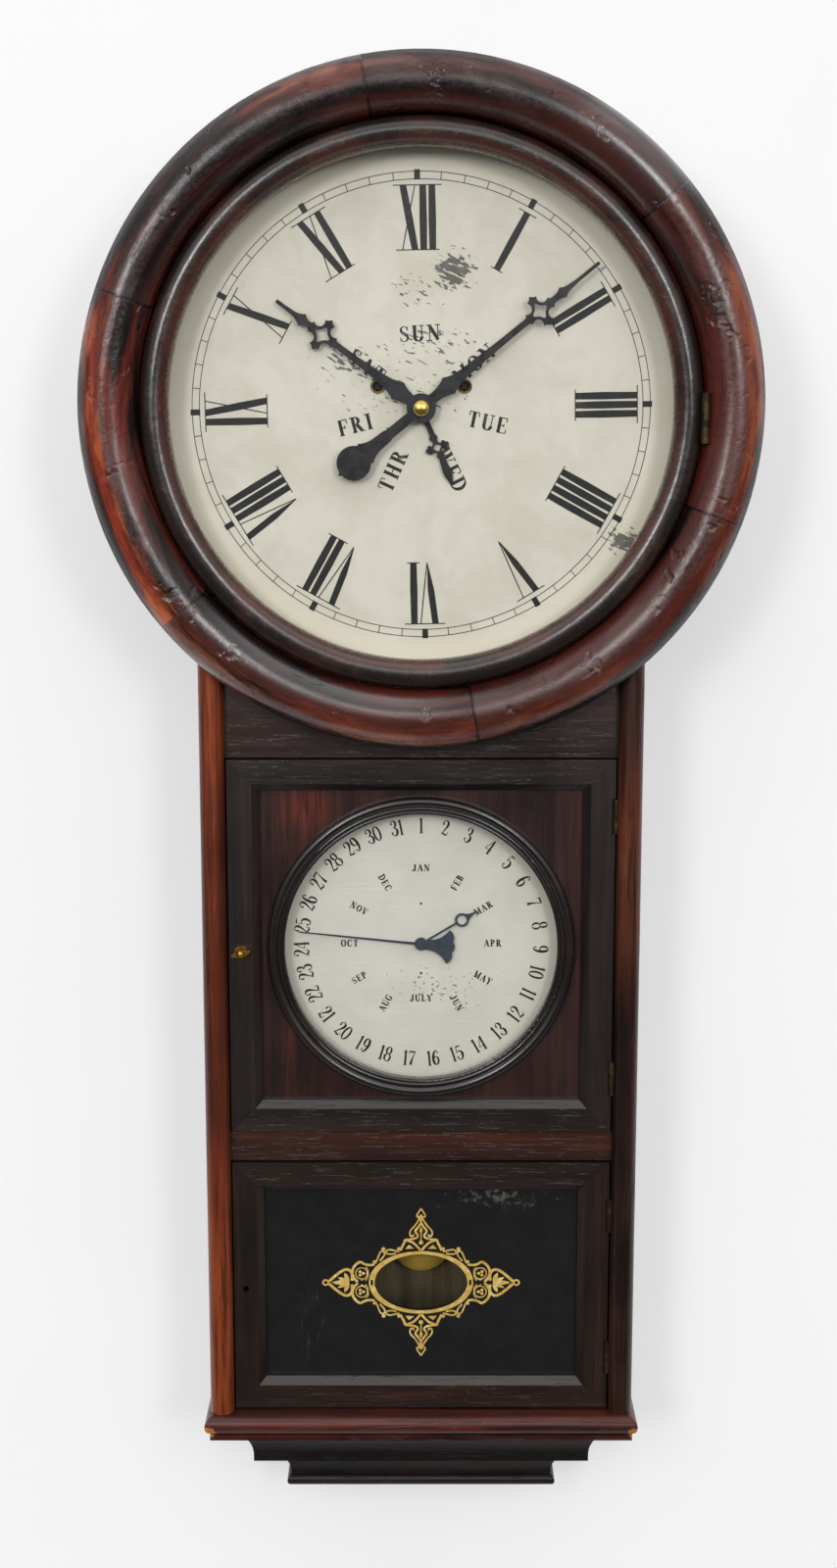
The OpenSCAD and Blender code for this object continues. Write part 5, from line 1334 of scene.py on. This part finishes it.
@dataclass
class Movement:
    """The brass movement, its springs and the pendulum."""

    def build(self) -> None:
        """Dress the plates, the wheels, the springs and the pendulum."""
        wheels = ("centre_arbor", "hour_wheel", "minute_wheel", "day_star_wheel", "third_wheel",
                  "escape_wheel", "movement_front_plate", "movement_back_plate", "movement_posts",
                  "suspension_cock",
                  "pendulum_rod", "rating_nut")
        dress({name: BRASS for name in wheels})
        wound = WoundWheel("wound_wheel_brass")
        dress({"great_wheel_left": wound, "great_wheel_right": wound})
        dress({"mainsprings": BLUED_STEEL, "verge_crutch": BLUED_STEEL,
               "pendulum_bob": Metal("bob_brass", "#f3d673", "#cba54a", (0.5, 0.75), 0.36, 0.1)})


@dataclass
class Studio:
    """The wall, the floor, the lamps and the camera."""

    eye: tuple[float, float, float] = (-0.00167, -1.39134, -0.15374)
    tilt: float = 10.0
    focal_px: float = 2138.85
    image_high: int = 1600
    sensor: float = 36.0
    wall: float = 0.003
    wall_top: float = 3.0
    spread: float = 4.0
    floor: float = -1.9
    floor_reach: float = 0.9
    gloom: float = 0.10
    ceiling: float = 1.0
    overhead: float = 0.8
    backdrop: float = 0.9
    side_loss: float = 0.6
    horizon: tuple[float, float] = (-0.06, 0.25)
    zenith: tuple[float, float] = (0.55, 0.95)
    flank: tuple[float, float] = (0.55, 0.95)
    rearward: tuple[float, float] = (0.0, 0.3)
    lamps: tuple[tuple[str, tuple[float, float, float], tuple[float, float], float], ...] = (
        ("left_softbox", (-1.25, -3.50, 0.41), (0.60, 0.60), 24.0),
        ("right_softbox", (1.25, -3.50, 0.41), (0.60, 0.60), 22.0),
        ("left_strip", (-0.85, -2.40, 0.62), (0.6, 0.6), 10.0),
        ("right_strip", (0.85, -2.40, 0.62), (0.5, 0.5), 6.0),
        ("top_strip", (0.0, -2.40, 0.62), (0.6, 0.5), 2.0),
        ("back_softbox", (0.0, 2.60, 0.20), (1.2, 0.8), 22.0),
    )
    aim: tuple[float, float, float] = (0.0, 0.0, -0.35)

    def sheet(self, name: str, corners: Sequence[Sequence[float]], paint: Finish) -> None:
        """Stand one large flat sheet behind or below the clock."""
        made = mesh_piece(name, corners, [list(range(len(corners)))], paint)

    def lamp(self, name: str, place: tuple[float, float, float], size: tuple[float, float],
             power: float) -> None:
        """Hang one soft lamp that faces the clock.

        Args:
            name: The lamp's name.
            place: Its middle.
            size: Its width and height.
            power: Its power in watts.
        """
        data = bpy.data.lights.new(name, "AREA")
        data.shape = "RECTANGLE"
        data.energy, (data.size, data.size_y) = power, size
        made = bpy.data.objects.new(name, data)
        made.location = place
        look = np.array(self.aim) - place
        flat = math.hypot(look[0], look[1])
        made.rotation_euler = (math.atan2(flat, -look[2]), 0, math.atan2(look[1], look[0]) - math.pi / 2)
        bpy.context.scene.collection.objects.link(made)

    def ambient(self) -> bpy.types.World:
        """Make the room's own light: dim below, full above, and a pale backdrop to the eye."""
        world = bpy.data.worlds.new("studio")
        room = Graph(world)
        across, ahead, rise = room.split(room.node("TexCoord", out="Generated"))
        facing = 1.0 - abs(across).step(*self.flank) * self.side_loss
        level = rise.step(*self.horizon) * facing * (self.ceiling - self.gloom) + self.gloom
        level = level + rise.step(*self.zenith) * self.overhead
        eye, mirrored, through = room.rays("Camera", "Glossy", "Transmission")
        seen = eye.most(through).most(mirrored * ahead.step(*self.rearward))
        level = level + seen * (self.backdrop - level)
        room.show(room.node("Background", None, {"Color": "#ffffff", "Strength": level}), "OutputWorld")
        return world

    def camera(self) -> bpy.types.Object:
        """Make the camera at the fitted eye, tilted down."""
        data = bpy.data.cameras.new("camera")
        data.sensor_width = self.sensor
        data.lens = self.focal_px * self.sensor / self.image_high
        made = bpy.data.objects.new("camera", data)
        made.location = self.eye
        made.rotation_euler = (math.radians(90 - self.tilt), 0, 0)
        bpy.context.scene.collection.objects.link(made)
        return made

    def build(self) -> None:
        """Set the wall and floor, the lamps, the ambient light and the camera."""
        left, right, back, low = -self.spread, self.spread, self.wall, self.floor
        top, near = self.wall_top, -self.floor_reach
        foot = [(left, back, low), (right, back, low)]
        self.sheet("wall", [*foot, (right, back, top), (left, back, top)], Plaster("wall_paint"))
        self.sheet("floor", [(left, near, low), (right, near, low), *foot[::-1]],
                   Plaster("floor_paint", "#b0b0b2", "#acacae"))
        for lamp in self.lamps:
            self.lamp(*lamp)
        scene = bpy.context.scene
        scene.world = self.ambient()
        scene.camera = self.camera()
        scene.view_settings.view_transform = "Standard"


def main() -> None:
    """Build and dress every sub-assembly in order."""
    logging.basicConfig(level=logging.INFO, format="%(name)s: %(message)s")
    for part in (Case(), Dial(), DialBezel(), Calendar(), CalendarDoor(), TabletDoor(), Movement(),
                 Studio()):
        LOG.info("building %s", type(part).__name__)
        part.build()


if __name__ == "__main__":
    main()
